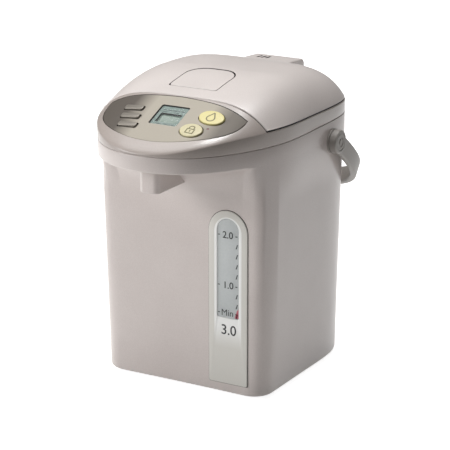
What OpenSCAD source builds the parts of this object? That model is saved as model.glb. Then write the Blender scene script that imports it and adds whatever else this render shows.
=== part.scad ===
// Electric thermo pot, about three litres. Millimetres, +Z up, front towards -Y,
// origin on the standing surface below the centre of the lower body's width.

/* [Body] */
// Width of the lower body at its foot
body_w = 187; // [180:1:190]
// Width of the lower body where it starts to flare
body_top_w = 196; // [191:1:198]
// Distance of the flat front panel from the origin
body_front = 87; // [85:0.5:88]
// Distance of the rear wall from the origin
body_back = 103.5; // [100:0.5:104]
// Radius of the two upright front corners at the foot
corner_r = 20; // [16:1:24]
// Radius of the same corners where the body starts to flare
corner_top_r = 16; // [13:1:20]
// Wall of the body, frame and lid mouldings
wall = 2.5; // [2:0.1:3]
// Height of the rubber feet below the body
foot_h = 3; // [2.5:0.5:4]
// Height at which the body starts to flare towards the collar
flare_z = 194; // [193.5:0.5:200]

/* [Collar and frame] */
// Width of the collar and of the frame on it
ring_w = 205; // [200:1:212]
// Reach of the spout beak from the origin
ring_front = 163; // [155:1:170]
// Reach of the collar to the rear
ring_back = 104; // [104:0.5:108]
// Lower edge of the collar
collar_z = 242.5; // [236:0.5:246]
// Joint between the body and the upper frame
frame_z = 259; // [255:0.5:262]
// Rim of the frame at the sides, where the lid starts
rim_z = 276; // [272:0.5:280]
// Slope of the control area, as rise over run
beak_slope = 0.42; // [0.38:0.01:0.44]
// Height of the joint between lid and frame at its middle
seam_z = 299.3; // [296:0.1:303]
// Height of the crown of the lid
crown_z = 312.5; // [306:0.5:318]
// Distance of the lid's front edge from the origin
seam_y = 81.5; // [79:0.5:84]

/* [Lid] */
// Gap between the lid and the frame
lid_gap = 0.8; // [0.6:0.1:1.2]
// Width of the lid lever
lever_w = 53; // [44:1:60]
// Length of the lid lever
lever_l = 50; // [44:1:56]
// Distance of the lever's front edge behind the lid's front edge
lever_setback = 19; // [16:1:24]
// Width of the steam vent housing
vent_w = 55; // [46:1:60]
// Reach of the steam vent housing to the rear
vent_back = 118; // [116:0.5:120]
// Height of the steam vent housing's rear edge
vent_z = 302.5; // [298:0.5:304]
// Diameter of the lid hinge pin
hinge_pin_d = 5; // [4:0.5:6]

/* [Water vessel] */
// Inside diameter of the water vessel
pot_d = 157; // [150:1:158]
// Distance of the vessel's axis behind the origin
pot_y = 10; // [8:0.5:11]
// Sheet thickness of the vessel
pot_t = 1.2; // [0.8:0.1:1.6]
// Height of the vessel's floor
pot_z = 62; // [58:0.5:66]

/* [Handle] */
// Distance of the handle's pivot behind the origin
pivot_y = 37.5; // [32:0.5:42]
// Height of the handle's pivot
pivot_z = 241; // [238:0.5:244]
// Reach of the handle from its pivot to the middle of the grip
handle_reach = 112; // [110:0.5:120]
// Thickness of the handle's band
handle_t = 6.5; // [5:0.5:8]
// Width of the handle's band
handle_b = 19; // [15:0.5:22]
// Angle of the stored handle below the horizontal
handle_drop = 36; // [30:1:38]
// Diameter of the handle's pivot pins
handle_pin_d = 10; // [8:0.5:12]
// Radius of the handle's round ends
boss_r = 12; // [10:0.5:13]

/* [Controls] */
// Half width of the control panel
panel_w = 76.5; // [70:0.5:78]
// Length of the control panel from its straight edge to its round edge
panel_l = 63.7; // [58:0.1:66]
// Thickness of the control panel's plate
panel_t = 1.2; // [1:0.1:1.4]
// Width of the display's lens
lcd_w = 31; // [26:0.5:34]
// Length of the display's lens down the slope
lcd_l = 30; // [24:0.5:32]
// Travel of the buttons and keys
key_travel = 1; // [0.6:0.1:1.2]
// Clearance around each button and key
key_gap = 0.35; // [0.3:0.05:0.5]

/* [Level gauge] */
// Distance of the gauge from the middle of the front panel
gauge_x = 54.4; // [50:0.1:55]
// Width of the gauge's plate
gauge_w = 43.5; // [38:0.5:46]
// Lower end of the gauge's plate
gauge_z0 = 14; // [13:0.5:20]
// Upper end of the gauge's plate
gauge_z1 = 193; // [186:0.5:193]
// Width of the gauge's window
window_w = 24.5; // [20:0.5:27]
// Lower end of the window
window_z0 = 83; // [78:1:90]
// Upper end of the window
window_z1 = 185; // [178:1:186]
// Outside diameter of the gauge's glass tube
tube_d = 10; // [9:0.5:11]

/* [Spout] */
// Width of the spout cover
spout_w = 22; // [20:0.5:26]
// Reach of the spout cover from the origin
spout_front = 146; // [140:0.5:148]
// Lower end of the spout cover
spout_z = 217; // [212:0.5:222]
// Bore of the spout's nozzle
nozzle_d = 8.4; // [7:0.1:9]

/* [Pump] */
// Direction of the pump from the vessel's axis, to the right of the front
pump_turn = 40; // [30:1:50]
// Radius of the pump's housing
pump_r = 20; // [18:0.5:22]
// Radius of the pump's motor
motor_r = 16; // [13:0.5:18]

/* [Hidden] */
$fn = 64;

// Colours
shell_colour = "#C9BFBB";
lid_colour = "#D8D0CC";
trim_colour = "#A7A196";
cream_colour = "#CFCBC4";
steel_colour = "#B9BCBE";
dark_colour = "#4A4A4C";

// ---- Plan outlines --------------------------------------------------------
ring_hw = ring_w / 2;
beak_power = 2.2;
rear_power = 4.5;
body_power = 4.9;

// Distance from the origin to a superellipse in the direction a
function oval_reach(a, w, d, n) =
    pow(pow(abs(cos(a)) / w, n) + pow(abs(sin(a)) / d, n), -1 / n);

// The ring is a little fuller beside the body's front corners than a plain superellipse
corner_fill = 0.024;
corner_span = 130;
function fullness(y) = 1 + corner_fill * pow(sin(180 * min(max(-y / corner_span, 0), 1)), 2);
function beak_reach(a, y) = oval_reach(a, ring_hw * fullness(y), ring_front, beak_power);
function ring_reach(a) = let (s = sin(a)) s >= 0 ? oval_reach(a, ring_hw, ring_back, rear_power)
    : beak_reach(a, s * beak_reach(a, s * beak_reach(a, s * beak_reach(a, 0))));

// Distance to the lower body: a rounded box in front, a superellipse behind
function corner_reach(c, s, hw, r) = let (cx = hw - r, cy = body_front - r,
    b = c * cx + s * cy) b + sqrt(b * b - cx * cx - cy * cy + r * r);
function box_reach(a, hw, r) = let (c = abs(cos(a)), s = abs(sin(a)))
    sin(a) >= 0 ? oval_reach(a, hw, body_back, body_power)
    : body_front * c <= (hw - r) * s ? body_front / s
    : hw * s <= (body_front - r) * c ? hw / c
    : corner_reach(c, s, hw, r);

// The sides lean outwards from the foot to the flare, and never reach past the ring
function body_reach(a, z) = let (low = box_reach(a, body_w / 2, corner_r),
    high = min(box_reach(a, body_top_w / 2, corner_top_r), ring_reach(a) - 0.4))
    low + (high - low) * (z - foot_h) / (flare_z - foot_h);

function polar(r, a) = [r * cos(a), r * sin(a)];
function ring_at(a, inset = 0) = polar(ring_reach(a) - inset, a);
function body_at(a, z, inset = 0) = polar(body_reach(a, z) - inset, a);

// Directions of the upright stations, closest together round the front corners
right_side = [-90, -82, -74, -66, -60, -55, -51, -48.5, -46.2, -44, -42, -40, -38, -36, -34,
    -31, -26, -19, -10, 0, 10, 20, 28, 35, 40, 44, 48, 53, 60, 70, 80];
around = concat(right_side, [90], [for (i = [len(right_side) - 1:-1:1]) 180 - right_side[i]]);

// ---- Crown: the one smooth surface of lid and frame -----------------------
side_swell = 6;
rear_swell = 4.6;
crown_power = 1.09;
ridge_power = 1.6;
rim_dip = 4;

function ring_share(x, y) = let (n = y < 0 ? beak_power : rear_power,
    d = y < 0 ? ring_front : ring_back)
    pow(pow(abs(x) / ring_hw / fullness(y), n) + pow(abs(y) / d, n), 1 / n);
function frontness(x, y) = let (r = ring_share(x, y)) r > 0 ? max(-y / r / ring_front, 0) : 0;
function rearness(x, y) = let (r = ring_share(x, y)) r > 0 ? max(y / r / ring_back, 0) : 0;
function rear_dome(x, y) = let (p = side_swell + (rear_swell - side_swell) * pow(rearness(x, y), 2))
    rim_z + (crown_z - rim_z) * pow(max(1 - pow(min(ring_share(x, y), 1), p), 0), 1 / crown_power);

// The lid meets the frame along a line that is flat in the middle and falls to the corners
function half_width(y) = ring_hw * fullness(y)
    * pow(1 - pow(min(-y / ring_front, 1), beak_power), 1 / beak_power);
function rim_height(y) = rim_z - rim_dip * pow(y / ring_front, 2);
seam_end = half_width(-seam_y);
seam_low = rim_height(-seam_y);
seam_power = 4;
function seam_height(x) = seam_z - (seam_z - seam_low) * pow(min(abs(x) / seam_end, 1), seam_power);

// Between that line and the origin the lid rises from the same arch to the crown
function ridge(y) = crown_z - (crown_z - seam_z) * pow(min(-y / seam_y, 1), ridge_power);
function front_dome(x, y) = let (k = 1 - pow(min(-y / seam_y, 1), 2), z = rim_height(y),
    n = seam_power + (side_swell - seam_power) * k, m = 1 - (1 - 1 / crown_power) * k)
    z + (ridge(y) - z) * pow(max(1 - pow(min(abs(x) / half_width(y), 1), n), 0), m);

// From that line the control slope runs down to the beak
slope_curve = 0.0004;
function slope_height(x, y) = let (s = -seam_y - y) seam_height(x) - beak_slope * s - slope_curve * s * s;
function crown(x, y) = y < -seam_y ? slope_height(x, y) : y < 0 ? front_dome(x, y) : rear_dome(x, y);

// The frame's outer edge rounds over to the body joint
edge_start = 0.93;
edge_drop = 3;
function frame_top(x, y) = let (t = min(max((ring_share(x, y) - edge_start) / (1 - edge_start), 0), 1))
    crown(x, y) - edge_drop * pow(frontness(x, y), 2) * (1 - sqrt(1 - t * t));
function rim_at(x, y) = rim_z - rim_dip * pow(frontness(x, y), 2);

// Slopes of the crown, for pieces that stand square on it
slope_step = 0.5;
function tilt_x(x, y) = atan((crown(x, y + slope_step) - crown(x, y - slope_step)) / (2 * slope_step));
function tilt_y(x, y) = -atan((crown(x + slope_step, y) - crown(x - slope_step, y)) / (2 * slope_step));
module on_crown(at, side_tilt = 0) {
    translate([at[0], at[1], crown(at[0], at[1])])
        rotate([tilt_x(at[0], at[1]), side_tilt, 0]) children();
}

// ---- Mesh helpers ---------------------------------------------------------
// Skins a row of equal closed profiles. A closed row joins its last profile to its first.
module skin(rows, closed = true) {
    n = len(rows);
    m = len(rows[0]);
    points = [for (row = rows) each row];
    sides = [for (i = [0:n - (closed ? 1 : 2)], j = [0:m - 1])
        let (a = i * m + j, b = i * m + (j + 1) % m, c = (i + 1) % n * m + (j + 1) % m,
            d = (i + 1) % n * m + j) each [[a, b, c], [a, c, d]]];
    caps = closed ? [] : [[for (j = [m - 1:-1:0]) j], [for (j = [0:m - 1]) (n - 1) * m + j]];
    polyhedron(points, concat(sides, caps), convexity = 8);
}

// Skins a row of open profiles that all run from one point to another
module skin_from_poles(rows, first, last) {
    n = len(rows);
    m = len(rows[0]);
    points = concat([for (row = rows) each row], [first, last]);
    sides = [for (i = [0:n - 1], j = [0:m - 2])
        let (a = i * m + j, b = i * m + j + 1, c = (i + 1) % n * m + j + 1, d = (i + 1) % n * m + j)
        each [[a, b, c], [a, c, d]]];
    starts = [for (i = [0:n - 1]) [n * m, i * m, (i + 1) % n * m]];
    ends = [for (i = [0:n - 1]) [n * m + 1, (i + 1) % n * m + m - 1, i * m + m - 1]];
    polyhedron(points, concat(sides, starts, ends), convexity = 8);
}

// A plate that follows the crown. Each column is [x, y from, y to].
module crown_plate(columns, above, below, steps) {
    skin([for (c = columns) let (ys = [for (k = [0:steps]) c[1] + (c[2] - c[1]) * k / steps])
        concat([for (y = ys) [c[0], y, crown(c[0], y) + above]],
            [for (k = [steps:-1:0]) [c[0], ys[k], crown(c[0], ys[k]) - below]])], false);
}

module tube(r_out, r_in, h) {
    rotate_extrude() translate([r_in, 0]) square([r_out - r_in, h]);
}

function ellipse_points(a, b, n = 40) = [for (i = [0:n - 1]) [a * cos(360 * i / n), b * sin(360 * i / n)]];

module slab(w, d, h, r) {
    linear_extrude(h) rounded(w, d, r);
}
module rounded(w, d, r) {
    union() {
        square([w - 2 * r, d], center = true);
        square([w, d - 2 * r], center = true);
        for (sx = [-1, 1], sy = [-1, 1]) translate([sx * (w / 2 - r), sy * (d / 2 - r)]) circle(r);
    }
}

// Shapes cut from a plate along the front (drawn in X and Z, with depth along Y)
module upright(y0, y1) {
    translate([0, y1, 0]) rotate([90, 0, 0]) linear_extrude(y1 - y0) children();
}

// ---- Body -----------------------------------------------------------------
cove_steps = 8;
inner_cove_steps = 5;
joint_gap = 0.2;
foot_edge = 6;
lip_t = 2;

// One upright line of the flare from the lower body out to the collar
function flare(a, inset, top, steps) = [for (k = [0:steps])
    let (t = 90 * k / steps, p = body_at(a, flare_z, inset), q = ring_at(a, inset), out = 1 - cos(t))
    [p[0] + (q[0] - p[0]) * out, p[1] + (q[1] - p[1]) * out, flare_z + (top - flare_z) * sin(t)]];
function lifted(p, z) = [p[0], p[1], z];
function backwards(list) = [for (i = [len(list) - 1:-1:0]) list[i]];

function body_section(a) = concat(
    [lifted(body_at(a, foot_h, foot_edge), foot_h), lifted(body_at(a, foot_h, foot_edge / 4), foot_h + 1.2),
        lifted(body_at(a, foot_h + 4.5), foot_h + 4.5)],
    flare(a, 0, collar_z, cove_steps),
    [lifted(ring_at(a), frame_z - joint_gap), lifted(ring_at(a, wall), frame_z - joint_gap)],
    backwards(flare(a, wall, collar_z + wall, inner_cove_steps)),
    [lifted(body_at(a, foot_h, wall), foot_h + lip_t), lifted(body_at(a, foot_h, foot_edge), foot_h + lip_t)]);

spout_r = 6;
spout_back = body_front + 9;
module spout_outline(grow = 0) {
    w = spout_w / 2 + grow;
    translate([0, -spout_back + grow]) polygon(concat([[w, 0]], [for (t = [0:10:90])
        [w - spout_r * (1 - cos(t)), spout_back - spout_front - 2 * grow + spout_r * (1 - sin(t))]],
        [for (t = [90:10:180])
        [-w + spout_r * (1 + cos(t)), spout_back - spout_front - 2 * grow + spout_r * (1 - sin(t))]],
        [[-w, 0]]));
}

fit_gap = 0.15;
bush_r = boss_r + 0.5;
bush_in = 8;
socket_w = 36;
socket_h = 22;
socket_z = 40;
socket_depth = 14;

module gauge_outline(w, z0, z1, r = 2) {
    union() {
        translate([gauge_x, z1 - w / 2]) circle(w / 2);
        translate([gauge_x - w / 2, z0 + r]) square([w, z1 - w / 2 - z0 - r]);
        translate([gauge_x - w / 2 + r, z0]) square([w - 2 * r, r]);
        for (s = [-1, 1]) translate([gauge_x + s * (w / 2 - r), z0 + r]) circle(r);
    }
}

module body_shell() {
    color(shell_colour) difference() {
        skin([for (a = around) body_section(a)]);
        translate([0, 0, spout_z - 10]) linear_extrude(collar_z + wall + 11 - spout_z) spout_outline(fit_gap);
        upright(-body_front - 1, -body_front + wall + 1)
            gauge_outline(window_w + 2 * window_rim, window_z0 - window_rim, window_z1 + window_rim);
        for (s = [-1, 1]) translate([s * (ring_hw - 20), pivot_y, pivot_z]) rotate([0, s * 90, 0])
            cylinder(r = bush_r + fit_gap, h = 30);
        translate([0, body_back - 12, socket_z - socket_h / 2 - fit_gap])
            translate([-socket_w / 2 - fit_gap, 0, 0]) cube([socket_w + 2 * fit_gap, 24, socket_h + 2 * fit_gap]);
    }
}

// ---- Upper frame ----------------------------------------------------------
lip_h = 14;
seam_lip = 2.2;
roof_steps = 9;
under_steps = 5;
rim_gap = 0.3;
plate_t = 3;

function in_front(a) = ring_at(a)[1] < -seam_y - 1;
function inner_end(a) = in_front(a) ? [ring_at(a)[0], -seam_y] : ring_at(a, wall + 0.5);
function between(p, q, t) = [p[0] + (q[0] - p[0]) * t, p[1] + (q[1] - p[1]) * t];
function frame_section(a) = let (c = ring_at(a), s = inner_end(a), d = norm(c - s), front = in_front(a),
    back = between(s, c, front ? min(seam_lip / d, 0.33) : 0.1), inner = ring_at(a, min(wall, d / 3)),
    top = front ? frame_top(s[0], s[1]) : rim_at(c[0], c[1]) - rim_gap,
    low = front ? top - lip_h : frame_z + plate_t + 0.5)
    concat([lifted(c, frame_z)],
        [for (k = [0:roof_steps]) let (p = between(c, s, pow(k / roof_steps, 2)))
            lifted(p, front ? frame_top(p[0], p[1]) : top)],
        [lifted(s, low), lifted(back, low)],
        [for (k = [0:under_steps]) let (p = between(back, inner, k / under_steps))
            lifted(p, front ? frame_top(p[0], p[1]) - wall : low - 0.05 * (k + 1))],
        [lifted(inner, frame_z)]);

// The control panel's outline: straight along the lid, round towards the beak
panel_setback = 2.4;
panel_power = 2.1;
tip_round = 6.3;
function panel_columns(grow = 0) = [for (k = [-12:12]) let (x = panel_w * sin(7.4 * k), u = abs(x) / panel_w,
    top = -seam_y - panel_setback - tip_round * pow(u, 1.3),
    low = -seam_y - panel_setback - tip_round - (panel_l - tip_round)
        * pow(1 - pow(u, panel_power), 1 / panel_power))
    [x * (1 + grow / panel_w), low - grow, top + grow]];

// Places of the display, buttons and keys on the slope
lcd_at = [3, -111];
board_at = [6, -116];
pour_at = [46.6, -105];
lock_at = [36.6, -126.5];
lamp_at = [50.5, -119];
key_x = [-39, -36, -32];
key_pitch = 12;
key_first = -106.5;
function key_at(i) = [key_x[i], key_first - key_pitch * i];
pour_size = [12.9, 10];
lock_size = [11.6, 9.6];
key_w = 20.5;
key_l = 6.5;
key_r = 2;
lamp_r = 1.2;

module pour_place() { on_crown(pour_at, tilt_y(pour_at[0], pour_at[1])) children(); }
module lock_place() { on_crown(lock_at, tilt_y(lock_at[0], lock_at[1])) children(); }
module key_place(i) { on_crown(key_at(i), tilt_y(key_at(i)[0], key_at(i)[1])) children(); }
module oval(size, grow = 0) { polygon(ellipse_points(size[0] + grow, size[1] + grow)); }

module control_holes() {
    on_crown(lcd_at) translate([0, 0, -8]) slab(lcd_w + 2 * fit_gap, lcd_l + 2 * fit_gap, 12, 2);
    pour_place() translate([0, 0, -7]) linear_extrude(12) oval(pour_size, key_gap);
    lock_place() translate([0, 0, -7]) linear_extrude(12) oval(lock_size, key_gap);
    for (i = [0:2]) key_place(i) translate([0, 0, -7])
        slab(key_w + 2 * key_gap, key_l + 2 * key_gap, 12, key_r + key_gap);
    on_crown(lamp_at) translate([0, 0, -7]) cylinder(r = lamp_r + fit_gap, h = 12);
}

latch_w = 34;
latch_h = 5;
latch_z = seam_z - 11;
hinge_y = ring_back + 4.5;
hinge_z = rim_z + 5;

module upper_frame() {
    color(shell_colour) difference() {
        skin([for (a = around) frame_section(a)]);
        crown_plate(panel_columns(fit_gap), 4, panel_t + 0.1, 8);
        control_holes();
        translate([-latch_w / 2 - 1, -seam_y - seam_lip - 1, latch_z - 0.5])
            cube([latch_w + 2, seam_lip + 2, latch_h + 1]);
    }
}

module mouth_plate() {
    inner_edge = [for (a = around) let (p = ring_at(a, wall + fit_gap)) [p[0], max(p[1], -seam_y - seam_lip)]];
    side = seam_end - wall - 3;
    color("#B9B2AE") {
        translate([0, 0, frame_z]) difference() {
            linear_extrude(plate_t) polygon(inner_edge);
            translate([0, pot_y, -1]) cylinder(r = pot_d / 2 + pot_t + 0.3, h = plate_t + 2, $fn = 96);
        }
        upright(-seam_y - seam_lip, -seam_y) polygon(concat([[side, frame_z + plate_t - 0.01],
            [-side, frame_z + plate_t - 0.01]],
            [for (k = [-10:10]) let (x = side * k / 10) [x, seam_height(x) - lip_h - 0.15]]));
    }
}

// ---- Control panel --------------------------------------------------------
lens_t = panel_t - 0.2;
display_h = 15;
board_t = 1.6;
board_w = 106;
board_l = 37;
board_y = -1;
cap_rise = 1.6;
flange_t = 1.2;
flange_w = 1.2;
flange_z = wall + 1.4 + flange_t;
switch_h = 3.4;
switch_w = 6;

module control_panel() {
    color(trim_colour) difference() {
        crown_plate(panel_columns(), 0, panel_t, 8);
        control_holes();
    }
}

module lcd_lens() {
    color([0.55, 0.68, 0.63]) on_crown(lcd_at) translate([0, 0, -panel_t])
        slab(lcd_w, lcd_l, lens_t, 1.8);
}

module lcd_module() {
    color("#7C8C84") on_crown(lcd_at) translate([0, 0, 0.15 - panel_t - display_h])
        slab(lcd_w - 1, lcd_l - 1, display_h - 0.15, 1.5);
}

module board_place() {
    translate([0, board_at[1], crown(board_at[0], board_at[1])]) rotate([tilt_x(board_at[0], board_at[1]), 0, 0])
        translate([0, board_y, -panel_t - display_h]) children();
}

// A point given on the slope, as seen in the board's own plan
board_tilt = tilt_x(board_at[0], board_at[1]);
function on_board(p) = let (dy = p[1] - board_at[1], dz = crown(p[0], p[1]) - crown(board_at[0], board_at[1]))
    [p[0], dy * cos(board_tilt) + dz * sin(board_tilt) - board_y,
        -dy * sin(board_tilt) + dz * cos(board_tilt) + panel_t + display_h];
button_places = [pour_at, lock_at, key_at(0), key_at(1), key_at(2)];

module control_board() {
    color("#3F6B4A") board_place() translate([0, 0, -board_t]) slab(board_w, board_l, board_t, 2);
}

module tact_switches() {
    color(dark_colour) board_place() for (p = button_places) let (q = on_board(p))
        translate([q[0] - switch_w / 2, q[1] - switch_w / 2, 0]) cube([switch_w, switch_w, switch_h]);
}

module lock_lamp() {
    q = on_board(lamp_at);
    color("#E8762C") board_place() translate([q[0], q[1], 0]) cylinder(r = lamp_r, h = q[2]);
}

// A button's stem stands on the board's normal and stops short of its switch by the travel
module stem(p, r) {
    q = on_board(p);
    board_place() translate([q[0], q[1], switch_h + key_travel + 0.15])
        cylinder(r = r, h = q[2] - switch_h - key_travel - flange_z + 0.35);
}

module pour_button() {
    color("#EFE28F") {
        pour_place() {
            translate([0, 0, 0.5 - flange_z]) linear_extrude(cap_rise + flange_z - 0.5) oval(pour_size);
            translate([0, 0, -flange_z]) linear_extrude(flange_t) oval(pour_size, flange_w);
        }
        stem(pour_at, 2);
    }
}

module lock_button() {
    color("#E8DFAE") {
        lock_place() {
            translate([0, 0, 0.5 - flange_z]) linear_extrude(cap_rise + flange_z - 0.5) oval(lock_size);
            translate([0, 0, -flange_z]) linear_extrude(flange_t) oval(lock_size, flange_w);
        }
        stem(lock_at, 2);
    }
}

module key(i) {
    color(trim_colour) {
        key_place(i) {
            translate([0, 0, 0.5 - flange_z]) slab(key_w, key_l, cap_rise + flange_z - 0.5, key_r);
            translate([0, 0, -flange_z])
                slab(key_w + 2 * flange_w, key_l + 2 * flange_w, flange_t, key_l / 2);
        }
        stem(key_at(i), 1.6);
    }
}
module key_top() { key(0); }
module key_middle() { key(1); }
module key_bottom() { key(2); }

// ---- Spout ----------------------------------------------------------------
spout_wall = 1.8;
nozzle_y = spout_front - 13;
nozzle_wall = 1.4;
pipe_r = nozzle_d / 2 + nozzle_wall;
pipe_z = frame_z - pipe_r - 1.2;

module spout_cover() {
    top = collar_z + wall + 0.3;
    color(shell_colour) difference() {
        translate([0, 0, spout_z]) linear_extrude(top - spout_z) spout_outline();
        translate([0, 0, spout_z + spout_wall]) linear_extrude(top) offset_spout();
        translate([0, -nozzle_y, spout_z - 1]) cylinder(r = pipe_r + fit_gap, h = spout_wall + 2);
    }
}
module offset_spout() { spout_outline(-spout_wall); }

module spout_nozzle() {
    color("#8E8A86") translate([0, -nozzle_y, spout_z - 1.5]) difference() {
        union() {
            cylinder(r = pipe_r, h = pipe_z - spout_z + 1.5);
            translate([0, 0, pipe_z - spout_z + 1.5]) sphere(pipe_r);
        }
        translate([0, 0, -1]) cylinder(r = nozzle_d / 2, h = pipe_z - spout_z + 2.5);
        translate([0, 0, pipe_z - spout_z + 1.5]) sphere(nozzle_d / 2);
        translate([0, 0, pipe_z - spout_z + 1.5]) rotate([90, 0, pipe_turn]) cylinder(r = nozzle_d / 2, h = 20);
    }
}

// ---- Level gauge ----------------------------------------------------------
window_rim = 1.5;
bezel_proud = 1.2;
tube_y = body_front - wall - 2.2 - tube_d / 2;
tube_at = [gauge_x, -tube_y];
hose_r = tube_d / 2 + 1.4;
nozzle_at = [0, -nozzle_y];
function heading(from, to) = atan2(to[0] - from[0], from[1] - to[1]);
scale_t = 1;
tube_top = pipe_z;
tube_z0 = 45;
pipe_turn = heading(nozzle_at, tube_at);

module gauge_bezel() {
    color(cream_colour) upright(-body_front - bezel_proud, -body_front) difference() {
        gauge_outline(gauge_w, gauge_z0, gauge_z1);
        gauge_outline(window_w, window_z0, window_z1);
    }
}

module gauge_window() {
    color([0.85, 0.88, 0.9, 0.4]) {
        upright(-body_front - 0.6, -body_front) gauge_outline(window_w - 0.2, window_z0 + 0.1, window_z1 - 0.1);
        upright(-body_front, -body_front + wall - 0.5)
            gauge_outline(window_w + 2 * window_rim - 0.3, window_z0 - window_rim + 0.15,
                window_z1 + window_rim - 0.15);
    }
}

module gauge_scale() {
    back = tube_y - tube_d / 2 - 0.8;
    color("#C4C8CA") difference() {
        upright(-body_front + wall + 0.1, -back + scale_t)
            gauge_outline(window_w + 8, window_z0 - 4, window_z1 + 4);
        upright(-body_front, -back) gauge_outline(window_w + 5, window_z0 - 2.5, window_z1 + 2.5);
        translate([gauge_x, -tube_y, 0]) cylinder(r = tube_d / 2 + 0.3, h = 300);
    }
}

module gauge_tube() {
    color([0.9, 0.95, 0.97, 0.5]) translate([gauge_x, -tube_y, tube_z0 + 12])
        tube(tube_d / 2, tube_d / 2 - 1.2, tube_top - tube_z0 - 24);
}

// ---- Water vessel and heat ------------------------------------------------
pot_r = pot_d / 2;
pot_top = frame_z + plate_t;
flange_r = pot_r + pot_t + 7;
suction_r = 8;
pump_reach = pot_r - 22;
pump_at = [pump_reach * sin(pump_turn), pot_y - pump_reach * cos(pump_turn)];
heater_r = 46;
sensor_r = 9;

module pot_liner() {
    r = pot_r;
    o = pot_r + pot_t;
    color(steel_colour) difference() {
        translate([0, pot_y, 0]) rotate_extrude($fn = 96) polygon(concat(
            [[0, pot_z], [o - 10, pot_z]], [for (t = [0:15:90]) [o - 10 + 10 * sin(t), pot_z + 10 - 10 * cos(t)]],
            [[o, pot_top + 0.05], [flange_r, pot_top + 0.05], [flange_r, pot_top + pot_t], [r, pot_top + pot_t]],
            [for (t = [90:-15:0]) [r - 9 + 9 * sin(t), pot_z + pot_t + 9 - 9 * cos(t)]], [[0, pot_z + pot_t]]));
        translate([pump_at[0], pump_at[1], pot_z - 1]) cylinder(r = suction_r, h = 10);
    }
}

module liner_seal() {
    color("#D9D4CF") translate([0, pot_y, pot_top + pot_t]) tube(flange_r - 0.5, flange_r - 4.5, 1.6);
}

module heater_plate() {
    color("#8D8F90") difference() {
        translate([0, pot_y, pot_z - 3.2]) tube(heater_r, sensor_r + 1.5, 3.2);
        translate([pump_at[0], pump_at[1], 0]) cylinder(r = suction_r + 4, h = 100);
    }
}

module band_heater() {
    color("#A48F6A") translate([0, pot_y, pot_z + 16]) tube(pot_r + pot_t + 1.5, pot_r + pot_t + 0.05, 34, $fn = 96);
}

module thermostat() {
    color("#C9B27A") translate([0, pot_y, pot_z - 0.05]) mirror([0, 0, 1]) {
        cylinder(r = sensor_r, h = 6);
        cylinder(r = sensor_r - 3, h = 11);
    }
}

// ---- Pump -----------------------------------------------------------------
housing_h = 14;
housing_z = pot_z - 9 - housing_h;
housing_wall = 2;
outlet_z = housing_z + housing_h / 2 - 1;
outlet_turn = heading(pump_at, tube_at);
outlet_l = pump_r + 10;
outlet_run = norm(tube_at - pump_at) - outlet_l;
shaft_r = 1.5;
shaft_gap = 0.06;
impeller_gap = 0.6;
magnet_h = 5;
base_z = foot_h + 4;
magnet_z = housing_z - 1 - magnet_h;
motor_z = base_z + 2.5;

module at_pump(z) { translate([pump_at[0], pump_at[1], z]) children(); }

module pump_housing() {
    color("#D8D3CC") difference() {
        union() {
            at_pump(housing_z) cylinder(r = pump_r, h = housing_h - 2);
            at_pump(outlet_z) rotate([90, 0, outlet_turn]) cylinder(r = pipe_r, h = outlet_l);
        }
        at_pump(housing_z + housing_wall) cylinder(r = pump_r - housing_wall, h = housing_h);
        at_pump(outlet_z) rotate([90, 0, outlet_turn]) cylinder(r = nozzle_d / 2, h = outlet_l + 1);
    }
    color(steel_colour) at_pump(housing_z + housing_wall) cylinder(r = shaft_r, h = housing_h - housing_wall - 2.2);
}

module pump_cover() {
    color("#D8D3CC") at_pump(housing_z + housing_h - 2) {
        tube(pump_r, suction_r - 1.5, 2);
        tube(suction_r, suction_r - 1.5, pot_z + pot_t - housing_z - housing_h + 2);
    }
}

module impeller() {
    r = pump_r - housing_wall - 1.6;
    color("#3A3A3A") at_pump(housing_z + housing_wall + impeller_gap) difference() {
        union() {
            cylinder(r = r, h = 3);
            cylinder(r = 4, h = 7.5);
            for (i = [0:5]) rotate(60 * i) translate([3, -0.75, 2.9]) cube([r - 4, 1.5, 4]);
        }
        translate([0, 0, -1]) cylinder(r = shaft_r + shaft_gap, h = 12);
    }
}

module drive_magnet() {
    color("#5C5F61") at_pump(magnet_z) cylinder(r = pump_r - 5, h = magnet_h);
    color(steel_colour) at_pump(motor_z + 3.3) cylinder(r = shaft_r, h = magnet_z - motor_z - 3.2);
}

module pump_motor() {
    color("#9EA1A4") difference() {
        union() {
            at_pump(motor_z) cylinder(r = motor_r, h = magnet_z - motor_z - 2);
            at_pump(base_z) cylinder(r = motor_r - 5, h = motor_z - base_z + 1);
        }
        at_pump(motor_z + 3) cylinder(r = shaft_r + shaft_gap, h = 60);
    }
}

module inlet_strainer() {
    color(steel_colour) at_pump(pot_z - 4) difference() {
        union() {
            tube(suction_r - 1.5, suction_r - 3, 4 + pot_t + 1);
            translate([0, 0, 4 + pot_t]) cylinder(r = suction_r + 2, h = 2.5);
        }
        for (i = [0:7]) rotate(45 * i) translate([suction_r * 0.4, 0, 0]) cylinder(r = 0.9, h = 20);
        translate([0, 0, -1]) cylinder(r = suction_r - 3, h = 4 + pot_t + 1.5);
    }
}

module bent_pipe(r, up, over) {
    translate([tube_at[0], tube_at[1], outlet_z]) {
        translate([0, 0, -r]) cylinder(r = r, h = up + r);
        rotate([-90, 0, outlet_turn]) cylinder(r = r - 0.4, h = outlet_run + over);
    }
}

module riser_tube() {
    seat = tube_z0 + 12 - outlet_z;
    color("#E4E1DC") difference() {
        bent_pipe(hose_r, seat + 6, 0);
        bent_pipe(nozzle_d / 2, seat + 1, 1);
        translate([tube_at[0], tube_at[1], tube_z0 + 12]) cylinder(r = tube_d / 2, h = 20);
    }
}

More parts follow.
